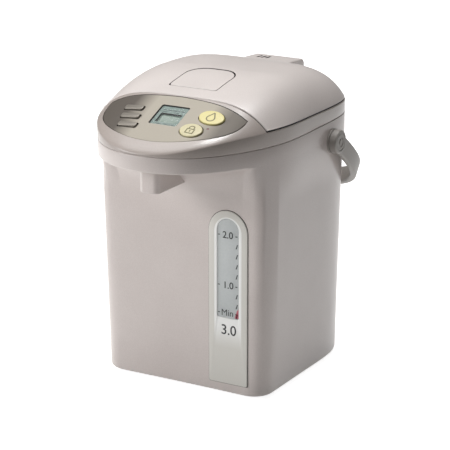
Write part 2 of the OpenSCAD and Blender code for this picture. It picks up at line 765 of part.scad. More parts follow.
upper_run = norm(nozzle_at - tube_at) - 2;
module upper_pipe(r, over) {
    translate([tube_at[0], tube_at[1], pipe_z]) {
        translate([0, 0, -13]) cylinder(r = r, h = 13);
        sphere(r);
        rotate([90, 0, pipe_turn - 180]) cylinder(r = r, h = upper_run + over);
    }
}

module outlet_tube() {
    color("#E4E1DC") difference() {
        union() {
            upper_pipe(pipe_r, 0);
            translate([tube_at[0], tube_at[1], pipe_z - 20]) cylinder(r = hose_r, h = 10);
        }
        upper_pipe(nozzle_d / 2, 1);
        translate([tube_at[0], tube_at[1], pipe_z - 25]) cylinder(r = tube_d / 2, h = 13);
        translate([0, -nozzle_y, pipe_z - 20]) cylinder(r = pipe_r, h = 20);
        translate([0, -nozzle_y, pipe_z]) sphere(pipe_r);
    }
}

// ---- Handle ---------------------------------------------------------------
arm_in = ring_hw + 2.5;
handle_power = 3.2;
pin_gap = 0.06;
boss_l = handle_t + 0.7;
function bow(w, d, n = 24) = [for (i = [0:n]) let (t = 180 * i / n, c = cos(t))
    [w * (c < 0 ? -1 : 1) * pow(abs(c), 2 / handle_power), d * pow(sin(t), 2 / handle_power)]];

module both_sides() { for (s = [0, 1]) mirror([s, 0, 0]) children(); }
module at_pivot(x) { translate([x, pivot_y, pivot_z]) rotate([0, 90, 0]) children(); }

module handle() {
    color("#9C9792") difference() {
        union() {
            translate([0, pivot_y, pivot_z]) rotate([-handle_drop, 0, 0]) translate([0, 0, -handle_b / 2])
                linear_extrude(handle_b) polygon(concat(bow(arm_in + handle_t, handle_reach + handle_t / 2),
                    backwards(bow(arm_in, handle_reach - handle_t / 2))));
            both_sides() at_pivot(arm_in - 0.1) cylinder(r = boss_r, h = boss_l);
        }
        both_sides() at_pivot(arm_in - 1) cylinder(r = handle_pin_d / 2 + pin_gap, h = 20);
    }
}

module handle_bushings() {
    color(dark_colour) both_sides() at_pivot(arm_in - bush_in) difference() {
        cylinder(r = bush_r, h = bush_in - 0.5);
        translate([0, 0, -1]) cylinder(r = handle_pin_d / 2, h = bush_in + 2);
    }
}

module handle_pins() {
    color(steel_colour) both_sides() at_pivot(arm_in - bush_in) {
        cylinder(r = handle_pin_d / 2, h = bush_in + handle_t);
        cylinder(r = handle_pin_d / 2 - 2, h = bush_in + handle_t + 0.8);
    }
}

// ---- Lid ------------------------------------------------------------------
lid_front = seam_y - lid_gap;
edge_t = 5;
lid_inset = 0.6;
lid_edge = [for (a = around) let (p = ring_at(a, lid_inset))
    p[1] < -lid_front ? [-lid_front / tan(a), -lid_front] : p];
vent_y = 74;
vent_wall = 2;
vent_top = vent_z + 2.1;

function lid_top(p) = lifted(p, crown(p[0], p[1]));
function lid_low(p) = p[1] < -lid_front + 0.01 ? max(crown(p[0], p[1]) - edge_t, rim_at(p[0], p[1]) + 0.5)
    : rim_at(p[0], p[1]) + 0.5;
function lid_ray(p) = let (mid = [0, pot_y], low = lid_low(p)) concat(
    [for (f = [.12, .3, .5, .66, .78, .87, .93, .965, .985]) lid_top(between(mid, p, f))],
    [lifted(p, max(crown(p[0], p[1]), low + 0.8)), lifted(p, low), lifted(between(mid, p, .972), low)],
    [for (f = [.955, .92, .86, .78, .66, .5, .3, .12]) let (q = between(mid, p, f))
        lifted(q, max(crown(q[0], q[1]) - wall, low + 0.1))]);

lever_y0 = -seam_y + lever_setback;
lever_y1 = lever_y0 + lever_l;
lever_t = 2;
lever_round = 20;
function nibble(e, r) = e < r ? r - sqrt(r * r - (r - e) * (r - e)) : 0;
function lever_columns(grow, rear) = [for (k = [-12:12])
    let (w = lever_w / 2 + grow, x = w * sin(7.5 * k), e = w - abs(x))
    [x, lever_y0 - grow + nibble(e, 3), lever_y1 + rear - nibble(e, lever_round)]];

module lid_cover() {
    color(lid_colour) difference() {
        skin_from_poles([for (p = lid_edge) lid_ray(p)], [0, pot_y, crown_z], [0, pot_y, crown_z - wall]);
        crown_plate(lever_columns(0.6, 1.2), 4, wall + 3, 8);
        translate([-vent_w / 2 - fit_gap, vent_y - fit_gap, rim_z - 20]) cube([vent_w + 2 * fit_gap, 60, 80]);
    }
}

core_z = pot_top + 4;
core_t = 2.5;
core_r = pot_r + 7.5;
seal_in = pot_r - 5;
duct_r = 6.5;
duct_y = pot_y + seal_in - duct_r - 5;
duct_t = 1.5;
duct_z = 291;
post_r = 4;
post_places = [[-58, -40], [58, -40], [-62, 60], [62, 60]];
lever_axis_y = lever_y1 - 8;
lever_axis_z = crown(0, lever_axis_y) - 3;
lever_pin_r = 1.5;
lever_lug = 10;
lever_post = 15;
tray_w = lever_w + 1.6;
tray_t = 1.4;
tray_z = latch_z + latch_h + 1.7;
guide_gap = 0.3;
latch_front = -seam_y + 0.4;
latch_rear = lever_axis_y + 19.5;
spring_l = 17;

function lowest_crown(p, r) = min([for (t = [0:45:315]) crown(p[0] + r * cos(t), p[1] + r * sin(t))]);
module lid_core() {
    color("#C6C1BC") {
        difference() {
            translate([0, pot_y, core_z]) cylinder(r = core_r, h = core_t, $fn = 96);
            translate([0, duct_y, 0]) cylinder(r = duct_r, h = 400);
        }
        for (p = post_places) translate([p[0], p[1], core_z])
            cylinder(r = post_r, h = lowest_crown(p, post_r) - wall - 0.6 - core_z);
        // Guide of the latch slide
        for (s = [-1, 1]) translate([s * (latch_w / 2 + guide_gap + 1) - 1, latch_front + 8, core_z])
            cube([2, 12, latch_z + latch_h + 1 - core_z]);
        translate([-latch_w / 2 - 1, latch_front + 8, latch_z - guide_gap - 1.6]) cube([latch_w + 2, 12, 1.6]);
        // Posts of the lever's pin, and the stop of the latch spring
        difference() {
            for (s = [-1, 1]) translate([s * (lever_post + 1.25) - 1.25, lever_axis_y - 2.5, core_z])
                cube([2.5, 5, lever_axis_z - 0.3 - core_z]);
            at_lever() translate([-30, 0, 0]) rotate([0, 90, 0]) cylinder(r = lever_pin_r, h = 60);
        }
        translate([-6, latch_rear + spring_l, core_z]) cube([12, 2.5, latch_z + latch_h + 1 - core_z]);
        // Tray below the lever
        difference() {
            translate([-tray_w / 2 - tray_t, lever_y0 - 2.4, tray_z]) cube([tray_w + 2 * tray_t, lever_l - 12, 9]);
            translate([-tray_w / 2, lever_y0 - 1, tray_z + 1.4]) cube([tray_w, lever_l, 20]);
            crown_plate([for (x = [-tray_w / 2 - 3, -18, 0, 18, tray_w / 2 + 3]) [x, -75, 0]], 20, wall + 1.2, 8);
        }
        for (s = [-1, 1]) translate([s * (tray_w / 2 - 2) - 1.5, lever_y0 + 4, core_z])
            cube([3, 20, tray_z - core_z + 1]);
    }
}

module lid_inner_plate() {
    color(steel_colour) translate([0, pot_y, pot_top]) difference() {
        cylinder(r = seal_in, h = core_z - pot_top, $fn = 96);
        translate([0, 0, 1]) cylinder(r = seal_in - 1, h = core_z, $fn = 96);
        translate([0, duct_y - pot_y, -1]) cylinder(r = duct_r - duct_t, h = 10);
    }
}

module lid_gasket() {
    color("#E9E5E0") translate([0, pot_y, pot_top + pot_t + 0.4])
        tube(pot_r + 2.4, seal_in, core_z - pot_top - pot_t - 0.4, $fn = 96);
}

module steam_duct() {
    module bend(r, over) {
        translate([0, duct_y, pot_top + 1 - over]) cylinder(r = r, h = duct_z - pot_top - 1 + over);
        translate([0, duct_y, duct_z]) sphere(r);
        translate([0, duct_y, duct_z]) rotate([-90, 0, 0]) cylinder(r = r, h = 26 + over);
    }
    color("#D8D3CC") difference() {
        bend(duct_r, 0);
        bend(duct_r - duct_t, 1);
    }
}

module steam_trap() {
    color("#B9B2AE") translate([0, duct_y + 26, duct_z]) rotate([-90, 0, 0]) difference() {
        cylinder(r = duct_r, h = 2);
        for (i = [0:5]) rotate(60 * i) translate([3.2, 0, -1]) cylinder(r = 1, h = 4);
    }
}

// ---- Steam vent housing and hinge -----------------------------------------
function vent_side(t, far) = let (r = 6 - t, y1 = vent_back - t, z1 = vent_z - t) concat(
    [[far, vent_top - t], [y1 - r, z1]], [for (a = [75:-15:0]) [y1 - r + r * cos(a), z1 - r + r * sin(a)]]);

module vent_cover() {
    low = hinge_z + 2;
    foot = rim_z + 1.2;
    color(lid_colour) difference() {
        rotate([90, 0, 90]) translate([0, 0, -vent_w / 2]) linear_extrude(vent_w) difference() {
            polygon(concat(vent_side(0, vent_y), [[vent_back, low], [hinge_y - 4, low], [hinge_y - 4, foot],
                [vent_y, foot]]));
        }
        rotate([90, 0, 90]) translate([0, 0, -vent_w / 2 + vent_wall]) linear_extrude(vent_w - 2 * vent_wall)
            polygon(concat(vent_side(vent_wall, vent_y - 5), [[vent_back - vent_wall, 250], [vent_y - 5, 250]]));
        for (x = [-15, -10, -5]) translate([x - 1.25, 92, vent_z - 8]) cube([2.5, 12, 20]);
    }
}

hinge_r = hinge_pin_d / 2;
knuckle_w = 13.7;
ear_r = hinge_r + 3.5;
bracket_y = ring_back + 0.1;

module at_hinge(x) { translate([x, hinge_y, hinge_z]) rotate([0, 90, 0]) children(); }

module hinge_bracket() {
    color("#8E8A86") difference() {
        union() {
            translate([-21, bracket_y, collar_z + 4.5]) cube([42, 6.3, rim_z - 1 - collar_z - 4.5]);
            for (s = [-1, 1]) translate([s * 17.5 - 3.5, bracket_y, rim_z - 2]) cube([7, 6.3, hinge_z - rim_z + 2]);
            for (s = [-1, 1]) at_hinge(s * 17.5 - 3.5) cylinder(r = ear_r, h = 7);
        }
        at_hinge(-30) cylinder(r = hinge_r, h = 60);
    }
}

module hinge_pin() {
    color(steel_colour) at_hinge(-22) cylinder(r = hinge_r, h = 44);
}

arm_y = pot_y + core_r - 10;
module lid_hinge_arm() {
    color("#B9B2AE") difference() {
        union() {
            at_hinge(-knuckle_w) cylinder(r = hinge_r + 3, h = 2 * knuckle_w);
            translate([-knuckle_w, arm_y, hinge_z - 3.5]) cube([2 * knuckle_w, hinge_y - arm_y, 6.5]);
            translate([-knuckle_w, arm_y, core_z + core_t])
                cube([2 * knuckle_w, 8, hinge_z - core_z - core_t]);
        }
        at_hinge(-30) cylinder(r = hinge_r + pin_gap, h = 60);
    }
}

// ---- Lever and latch ------------------------------------------------------
heel = [12, -2.5];
heel_r = 1.5;
ramp_a = 35;

module at_lever() { translate([0, lever_axis_y, lever_axis_z]) children(); }
module lever_cheek(x, w, list) {
    translate([x, 0, 0]) rotate([90, 0, 90]) linear_extrude(w) polygon(list);
}

module lid_lever() {
    color(lid_colour) difference() {
        union() {
            crown_plate(lever_columns(0, 0), 0, lever_t, 8);
            at_lever() for (x = [-lever_lug - 3.5, lever_lug]) {
                translate([x, 0, 0]) rotate([0, 90, 0]) cylinder(r = lever_pin_r + 1.5, h = 3.5);
                lever_cheek(x, 3.5, [[-9, 0.6], [-9, -1.5], [0, -3], [12, -4], [13.4, -2.5], [12, -1],
                    [5, 0.2], [3, 2]]);
            }
            at_lever() translate([-lever_lug - 3, heel[0], heel[1]]) rotate([0, 90, 0])
                cylinder(r = heel_r, h = 2 * lever_lug + 6);
        }
        at_lever() translate([-30, 0, 0]) rotate([0, 90, 0]) cylinder(r = lever_pin_r + pin_gap, h = 60);
    }
}

module lever_pin() {
    color(steel_colour) at_lever() translate([-lever_post - 2.5, 0, 0]) rotate([0, 90, 0])
        cylinder(r = lever_pin_r, h = 2 * lever_post + 5);
}

module latch_slide() {
    n = [-sin(ramp_a), cos(ramp_a)];
    t = [cos(ramp_a), sin(ramp_a)];
    c = [lever_axis_y, lever_axis_z] + heel - (heel_r + guide_gap) * n;
    low = c - 4.5 * t;
    high = c + 4 * t;
    color("#A9A49F") {
        translate([-latch_w / 2, latch_front, latch_z]) cube([latch_w, 22, latch_h]);
        translate([-6, latch_front + 21, latch_z]) cube([12, latch_rear - latch_front - 21, latch_h]);
        lever_cheek(-6, 12, [[low[0], latch_z + latch_h - 0.1], low, high, [high[0] + 3, high[1]],
            [high[0] + 3, latch_z + latch_h - 0.1]]);
    }
}

// A round wire wound along Y
module coil(r, wire, turns, length) {
    n = 14;
    skin([for (i = [0:turns * n]) let (t = 360 * i / n, y = length * i / (turns * n))
        [for (j = [0:5]) let (q = r + wire * cos(60 * j)) [q * cos(t), y + wire * sin(60 * j), q * sin(t)]]], false);
}

module latch_spring() {
    color(steel_colour) translate([0, latch_rear + 0.5, latch_z + latch_h / 2]) coil(2, 0.35, 7, spring_l - 1);
}

// ---- Base -----------------------------------------------------------------
foot_r = 9;
foot_seat = 1;
foot_places = [[-70, -62], [70, -62], [-70, 72], [70, 72]];

module base_plate() {
    color("#7F7A76") difference() {
        union() {
            translate([0, 0, foot_h]) linear_extrude(lip_t + 0.05)
                polygon([for (a = around) body_at(a, foot_h, foot_edge + 0.2)]);
            translate([0, 0, foot_h + lip_t + 0.05]) linear_extrude(base_z - foot_h - lip_t - 0.05)
                polygon([for (a = around) body_at(a, foot_h, wall + 0.3)]);
        }
        for (p = foot_places) translate([p[0], p[1], 0]) cylinder(r = lever_pin_r, h = 20);
    }
}

module feet() {
    color("#3C3C3E") for (p = foot_places) translate([p[0], p[1], 0]) difference() {
        cylinder(r = foot_r, h = foot_h);
        translate([0, 0, -1]) cylinder(r = 3.4, h = foot_h - foot_seat + 1);
        cylinder(r = 1.5, h = 10);
    }
}

module base_screws() {
    color(steel_colour) for (p = foot_places) translate([p[0], p[1], foot_h - foot_seat]) {
        translate([0, 0, -1.2]) cylinder(r = 3, h = 1.2);
        cylinder(r = 1.5, h = base_z - foot_h + foot_seat - 0.3);
    }
}

socket_wall = 2.5;
module power_socket() {
    color("#2F3032") translate([0, body_back, socket_z]) rotate([90, 0, 0]) {
        difference() {
            union() {
                translate([0, 0, 0]) linear_extrude(socket_depth + 2) square([socket_w, socket_h], center = true);
                translate([0, 0, wall + 0.1]) linear_extrude(2) square([socket_w + 6, socket_h + 6], center = true);
            }
            translate([0, 0, -1]) slab(socket_w - 2 * socket_wall, socket_h - 2 * socket_wall, socket_depth + 1, 3);
        }
    }
}

module power_pins() {
    color(steel_colour) translate([0, body_back - socket_depth, socket_z]) for (x = [-7, 7])
        translate([x - 2, 0, -1]) cube([4, socket_depth - 3, 2]);
}

module power_board() {
    z = base_z + 6;
    color("#3F6B4A") translate([-62, -30, z]) cube([60, 72, board_t]);
    color(cream_colour) for (x = [-58, -6], y = [-26, 38]) translate([x, y, base_z]) cylinder(r = 2.5, h = 6);
    color("#D9B44A") translate([-56, 0, z + board_t]) cube([22, 20, 15]);
    color(dark_colour) for (p = [[-24, 8], [-24, 24], [-12, 30]]) translate([p[0], p[1], z + board_t])
        cylinder(r = 5, h = 14);
    color("#CFCBC4") translate([-30, -24, z + board_t]) cube([14, 20, 12]);
}

body_shell();
upper_frame();
mouth_plate();
control_panel();
lcd_lens();
lcd_module();
control_board();
tact_switches();
lock_lamp();
pour_button();
lock_button();
key_top();
key_middle();
key_bottom();
spout_cover();
spout_nozzle();
gauge_bezel();
gauge_window();
gauge_scale();
gauge_tube();
handle();
handle_bushings();
handle_pins();
lid_cover();
lid_core();
lid_inner_plate();
lid_gasket();
lid_hinge_arm();
lid_lever();
lever_pin();
latch_slide();
latch_spring();
vent_cover();
steam_duct();
steam_trap();
hinge_bracket();
hinge_pin();
pot_liner();
liner_seal();
heater_plate();
band_heater();
thermostat();
pump_housing();
pump_cover();
impeller();
drive_magnet();
pump_motor();
inlet_strainer();
riser_tube();
outlet_tube();
base_plate();
feet();
base_screws();
power_socket();
power_pins();
power_board();
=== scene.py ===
from math import acos, asin, atan, atan2, copysign, cos, degrees, dist, hypot, pi, radians, sin, sqrt, tan

import bmesh
import bpy
from mathutils import Matrix, Vector


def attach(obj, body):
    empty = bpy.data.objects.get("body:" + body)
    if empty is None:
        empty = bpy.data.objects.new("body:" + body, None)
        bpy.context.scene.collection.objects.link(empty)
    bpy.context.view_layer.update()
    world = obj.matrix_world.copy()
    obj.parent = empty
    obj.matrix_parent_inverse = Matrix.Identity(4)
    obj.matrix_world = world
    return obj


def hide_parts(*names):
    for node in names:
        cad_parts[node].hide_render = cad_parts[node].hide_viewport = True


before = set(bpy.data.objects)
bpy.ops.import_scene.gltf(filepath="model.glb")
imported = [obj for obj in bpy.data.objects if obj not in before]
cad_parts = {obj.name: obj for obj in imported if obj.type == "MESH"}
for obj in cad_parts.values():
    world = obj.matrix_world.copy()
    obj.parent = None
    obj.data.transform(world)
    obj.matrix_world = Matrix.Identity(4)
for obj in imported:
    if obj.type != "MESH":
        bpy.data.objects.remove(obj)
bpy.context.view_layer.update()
print("frame loaded:", len(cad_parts), "nodes")

# Camera first. Lengths are metres here, angles are degrees.
camera = {"azimuth": 30.17, "elevation": 17.37, "target": (0, 0, 0.13411), "distance": 2.0252,
          "lens": 158.1, "sensor": 36, "shift": 0.0272}


def addObject(name, data):
    obj = bpy.data.objects.new(name, data)
    bpy.context.scene.collection.objects.link(obj)
    return obj


def setCamera():
    data = bpy.data.cameras.new("studioCamera")
    data.lens, data.sensor_width, data.shift_y = camera["lens"], camera["sensor"], camera["shift"]
    data.clip_end = 50
    a, e = radians(camera["azimuth"]), radians(camera["elevation"])
    back = Vector((sin(a) * cos(e), -cos(a) * cos(e), sin(e)))
    eye = addObject("studioCamera", data)
    eye.location = Vector(camera["target"]) + back * camera["distance"]
    eye.rotation_euler = back.to_track_quat("Z", "Y").to_euler()
    bpy.context.scene.camera = eye


setCamera()

# Plan and heights of the mouldings, in millimetres, as the solids have them
plan = {"ringHalf": 102.5, "ringFront": 163, "ringBack": 104, "beakPower": 2.2, "rearPower": 4.5,
        "cornerFill": 0.024, "cornerSpan": 130, "footHalf": 93.5, "topHalf": 98, "footCorner": 20,
        "topCorner": 16, "bodyFront": 87, "bodyBack": 103.5, "bodyPower": 4.9, "underRing": 0.4, "wall": 2.5}
level = {"foot": 3, "flare": 194, "collar": 242.5, "joint": 258.2, "jointClimb": 0.019, "rim": 276, "rimDip": 4,
         "seam": 299.3, "crown": 312.5}
crownShape = {"sideSwell": 6, "rearSwell": 4.6, "power": 1.09, "ridgePower": 1.6, "seamY": 81.5,
              "seamPower": 4, "slope": 0.42, "curve": 0.0004, "edgeStart": 0.93, "edgeDrop": 3}


def clamp(v):
    return min(max(v, 0), 1)


def turns(first, last, steps):
    # even steps of an angle given in degrees, as radians
    return [radians(first + (last - first) * k / steps) for k in range(steps + 1)]


def bend(steps):
    # a quarter round as pairs from (0, 0) to (1, 1): how far in, how far up
    return [(1 - cos(a), sin(a)) for a in turns(0, 90, steps)]


def between(p, q, t):
    return (p[0] + (q[0] - p[0]) * t, p[1] + (q[1] - p[1]) * t)


def ovalReach(a, w, d, n):
    return (abs(cos(a) / w) ** n + abs(sin(a) / d) ** n) ** (-1 / n)


def fullness(y):
    # the ring is a little fuller beside the front corners
    return 1 + plan["cornerFill"] * sin(pi * clamp(-y / plan["cornerSpan"])) ** 2


def ringReach(a):
    if sin(a) >= 0:
        return ovalReach(a, plan["ringHalf"], plan["ringBack"], plan["rearPower"])
    r = 0
    for _ in range(4):      # the fullness settles in a few passes
        r = ovalReach(a, plan["ringHalf"] * fullness(r * sin(a)), plan["ringFront"], plan["beakPower"])
    return r


def boxReach(a, half, r):
    # a rounded box in front, a superellipse behind
    c, s, front = abs(cos(a)), abs(sin(a)), plan["bodyFront"]
    if sin(a) >= 0:
        return ovalReach(a, half, plan["bodyBack"], plan["bodyPower"])
    if front * c <= (half - r) * s:
        return front / s
    if half * s <= (front - r) * c:
        return half / c
    cx, cy = half - r, front - r
    b = c * cx + s * cy
    return b + sqrt(b * b - cx * cx - cy * cy + r * r)


def bodyReach(a, z):
    # the sides lean out from the foot to the flare
    low = boxReach(a, plan["footHalf"], plan["footCorner"])
    high = min(boxReach(a, plan["topHalf"], plan["topCorner"]), ringReach(a) - plan["underRing"])
    return low + (high - low) * (z - level["foot"]) / (level["flare"] - level["foot"])


def polar(r, a):
    return (r * cos(a), r * sin(a))


def ringAt(a, inset=0):
    return polar(ringReach(a) - inset, a)


def bodyAt(a, z, inset=0):
    return polar(bodyReach(a, z) - inset, a)


def ringShare(x, y):
    n = plan["beakPower"] if y < 0 else plan["rearPower"]
    d = plan["ringFront"] if y < 0 else plan["ringBack"]
    return (abs(x / plan["ringHalf"] / fullness(y)) ** n + abs(y / d) ** n) ** (1 / n)


def heading(x, y):
    # from -1 straight to the front to 1 straight to the rear
    r = ringShare(x, y)
    return y / r / plan["ringFront" if y < 0 else "ringBack"] if r > 0 else 0


def rimAt(x, y):
    return level["rim"] - level["rimDip"] * min(heading(x, y), 0) ** 2


def halfWidth(y):
    n = plan["beakPower"]
    return plan["ringHalf"] * fullness(y) * (1 - min(-y / plan["ringFront"], 1) ** n) ** (1 / n)


def rimHeight(y):
    return level["rim"] - level["rimDip"] * (y / plan["ringFront"]) ** 2


seamY = crownShape["seamY"]
seamEnd, seamLow = halfWidth(-seamY), rimHeight(-seamY)


def seamHeight(x):
    return level["seam"] - (level["seam"] - seamLow) * min(abs(x) / seamEnd, 1) ** crownShape["seamPower"]


def frontDome(x, y):
    # from the arch of the seam up to the crown
    s, t = crownShape, min(-y / seamY, 1)
    k, z = 1 - t * t, rimHeight(y)
    n = s["seamPower"] + (s["sideSwell"] - s["seamPower"]) * k
    ridge = level["crown"] - (level["crown"] - level["seam"]) * t ** s["ridgePower"]
    return z + (ridge - z) * max(1 - min(abs(x) / halfWidth(y), 1) ** n, 0) ** (1 - (1 - 1 / s["power"]) * k)


def rearDome(x, y):
    s = crownShape
    p = s["sideSwell"] + (s["rearSwell"] - s["sideSwell"]) * heading(x, y) ** 2
    swell = max(1 - min(ringShare(x, y), 1) ** p, 0) ** (1 / s["power"])
    return level["rim"] + (level["crown"] - level["rim"]) * swell


def crown(x, y):
    s = crownShape
    if y < -seamY:
        run = -seamY - y
        return seamHeight(x) - s["slope"] * run - s["curve"] * run * run
    return frontDome(x, y) if y < 0 else rearDome(x, y)


def frameTop(x, y):
    s = crownShape
    t = clamp((ringShare(x, y) - s["edgeStart"]) / (1 - s["edgeStart"]))
    return crown(x, y) - s["edgeDrop"] * min(heading(x, y), 0) ** 2 * (1 - sqrt(1 - t * t))


def joint(y):
    # the line between body and frame climbs towards the rear
    return level["joint"] + level["jointClimb"] * (y + plan["ringFront"])


def slopeNormal(height, x, y, step=0.25):
    gx = (height(x + step, y) - height(x - step, y)) / (2 * step)
    gy = (height(x, y + step) - height(x, y - step)) / (2 * step)
    return Vector((-gx, -gy, 1)).normalized()


def crownPlace(at, sideTilt=True, step=0.5):
    # a place that stands square on the slope
    x, y = at
    tiltX = atan((crown(x, y + step) - crown(x, y - step)) / (2 * step))
    tiltY = -atan((crown(x + step, y) - crown(x - step, y)) / (2 * step)) if sideTilt else 0
    return Matrix.Translation((x, y, crown(x, y))) @ Matrix.Rotation(tiltY, 4, "Y") \
        @ Matrix.Rotation(tiltX, 4, "X")


# degrees between neighbours round the plan, from and to these directions; 2 elsewhere
fineSteps = ((-54, -33, 0.7), (28, 64, 1.25))


def directions(*marks):
    # round the plan, closest together at the four corners
    right = {-90.0, 90.0, *marks}
    a = -90.0
    while a < 90:
        right.add(round(a, 4))
        a += next((step for low, high, step in fineSteps if low < a < high), 2)
    side = sorted(right)
    return [radians(a) for a in side] + [radians(180 - a) for a in side[-2:0:-1]]


# Mesh making. Points are millimetres and turn to metres here.
def makeMesh(name, points, faces, finish=None, place=None):
    mesh = bpy.data.meshes.new(name)
    move = place or Matrix()
    mesh.from_pydata([tuple((move @ Vector(p)) * 0.001) for p in points], [], faces)
    mesh.validate()
    work = bmesh.new()
    work.from_mesh(mesh)
    bmesh.ops.recalc_face_normals(work, faces=work.faces)
    work.to_mesh(mesh)
    work.free()
    obj = addObject(name, mesh)
    if finish:
        mesh.materials.append(materials[finish])
    return obj


def skinFaces(rows, points, closed=True, capped=False):
    n, m = rows, points
    faces = [(i * m + j, i * m + (j + 1) % m, (i + 1) % n * m + (j + 1) % m, (i + 1) % n * m + j)
             for i in range(n if closed else n - 1) for j in range(m)]
    if capped:
        faces += [tuple(reversed(range(m))), tuple((n - 1) * m + j for j in range(m))]
    return faces


def ribbonFaces(first, pairs):
    # a strip along pairs of points
    return [(first + 2 * i, first + 2 * i + 1, first + 2 * i + 3, first + 2 * i + 2) for i in range(pairs - 1)]


def skin(name, rows, finish, closed=True, place=None):
    # equal closed rows of points joined side by side
    points = [p for row in rows for p in row]
    return makeMesh(name, points, skinFaces(len(rows), len(rows[0]), closed, not closed), finish, place)


def smooth(obj, angle=40, height=None, near=0.965):
    # soft shading with crisp edges; where the piece follows a surface, its normals come from that surface
    steepest, offSurface = 0.3, 0.04
    mesh = obj.data
    mesh.polygons.foreach_set("use_smooth", [True] * len(mesh.polygons))
    mesh.set_sharp_from_angle(angle=radians(angle))
    if height:
        normals = [n.vector.copy() for n in mesh.corner_normals]
        known = {}
        for face in mesh.polygons:
            if face.normal.z < steepest:
                continue
            for corner in face.loop_indices:
                v = mesh.loops[corner].vertex_index
                if v not in known:
                    x, y, z = mesh.vertices[v].co * 1000
                    good = ringShare(x, y) < near and abs(height(x, y) - z) < offSurface
                    known[v] = slopeNormal(height, x, y) if good else None
                if known[v]:
                    normals[corner] = known[v]
        mesh.normals_split_custom_set(normals)
    return obj


def cutAway(obj, *cutters):
    for cutter in cutters:
        mod = obj.modifiers.new("cut", "BOOLEAN")
        mod.operation, mod.solver, mod.object = "DIFFERENCE", "EXACT", cutter
        # new walls take the cutter's finish, so the dark cutters paint shade into the holes
        mod.material_mode = "TRANSFER"
    graph = bpy.context.evaluated_depsgraph_get()
    mesh = bpy.data.meshes.new_from_object(obj.evaluated_get(graph))
    obj.modifiers.clear()
    old = obj.data
    obj.data = mesh
    bpy.data.meshes.remove(old)
    for cutter in cutters:
        bpy.data.objects.remove(cutter)


def joined(name, *parts):
    # one object from several meshes
    with bpy.context.temp_override(active_object=parts[0], object=parts[0], selected_objects=parts,
                                   selected_editable_objects=parts):
        bpy.ops.object.join()
    parts[0].name = name
    return parts[0]


def dress(obj, slot, *nodes, body="root"):
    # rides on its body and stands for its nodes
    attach(obj, body)
    if nodes:
        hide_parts(*nodes)


def slabOutline(w, d, r, steps=8):
    return [(cx * (w / 2 - r) + r * cos(a), cy * (d / 2 - r) + r * sin(a))
            for cx, cy, start in ((1, 1, 0), (-1, 1, 90), (-1, -1, 180), (1, -1, 270))
            for a in turns(start, start + 90, steps)]


def ovalOutline(a, b, steps=72):
    return [(a * cos(t), b * sin(t)) for t in turns(0, 360, steps)[:-1]]


def pillow(name, rows, finish, place=None):
    # rows of (outline, height) from the bottom to the top, closed at both ends
    return skin(name, [[(x, y, z) for x, y in outline] for outline, z in rows], finish, False, place)


def rounding(d, r):
    # drop of a rounded edge at the distance d from it
    return r - sqrt(r * r - (r - max(d, 0)) ** 2) if d < r else 0


def roundedRows(outline, low, high, r):
    # rows of a cap whose top edge is rounded; outline(inset) gives the ring
    return [(outline(0), low)] + [(outline(r * u), high - r + r * v) for u, v in bend(5)]


# Materials
def linear(colour):
    # an sRGB hex value as linear light
    parts = [int(colour[i:i + 2], 16) / 255 for i in (1, 3, 5)]
    return tuple(c / 12.92 if c <= 0.04045 else ((c + 0.055) / 1.055) ** 2.4 for c in parts) + (1,)


def connect(tree, node, links):
    # a node as the source stands for its first output
    for key, source in links.items():
        tree.links.new(source.outputs[0] if isinstance(source, bpy.types.Node) else source, node.inputs[key])


def addNode(tree, kind, settings=None, links=None):
    node = tree.nodes.new("ShaderNode" + kind)
    for key, value in (settings or {}).items():
        if isinstance(key, int) or key in node.inputs:
            node.inputs[key].default_value = value
        else:
            setattr(node, key, value)
    connect(tree, node, links or {})
    return node


def blankTree(owner):
    owner.use_nodes = True
    owner.node_tree.nodes.clear()
    return owner.node_tree


def blankMaterial(name):
    material = bpy.data.materials.new(name)
    tree = blankTree(material)
    shader = addNode(tree, "BsdfPrincipled")
    addNode(tree, "OutputMaterial", links={"Surface": shader})
    return material, tree, shader, addNode(tree, "TexCoord").outputs["Object"]


def perMetre(size):
    return 1000 / size      # a pattern of so many millimetres


# shared by all finishes: clouds in mm, the grain's share of the tone, span of the tone, height of the relief in m
grainLook = {"cloud": 60, "share": 0.6, "span": (0.36, 0.64), "height": 0.00005}


def surface(name, look):
    # two close colours in a fine grain, with a roughness that wanders and a shallow relief
    dark, light, size, smoothest, roughest, relief, settings = look
    share = grainLook["share"]
    material, tree, shader, place = blankMaterial(name)
    grain = addNode(tree, "TexNoise", {"Scale": perMetre(size), "Detail": 3, "Roughness": 0.6}, {"Vector": place})
    cloud = addNode(tree, "TexNoise", {"Scale": perMetre(grainLook["cloud"]), "Detail": 2}, {"Vector": place})
    faint = addNode(tree, "Math", {"operation": "MULTIPLY", 1: 1 - share}, {0: cloud})
    tone = addNode(tree, "Math", {"operation": "MULTIPLY_ADD", 1: share}, {0: grain, 2: faint})
    colour = addNode(tree, "ValToRGB", links={"Fac": tone})
    for stop, at, shade in zip(colour.color_ramp.elements, grainLook["span"], (dark, light)):
        stop.position, stop.color = at, linear(shade)
    rough = addNode(tree, "MapRange", {"To Min": smoothest, "To Max": roughest}, {"Value": cloud})
    bump = addNode(tree, "Bump", {"Strength": relief, "Distance": grainLook["height"]}, {"Height": grain})
    for key, value in settings.items():
        shader.inputs[key].default_value = value
    connect(tree, shader, {"Base Color": colour, "Roughness": rough, "Normal": bump})
    return material


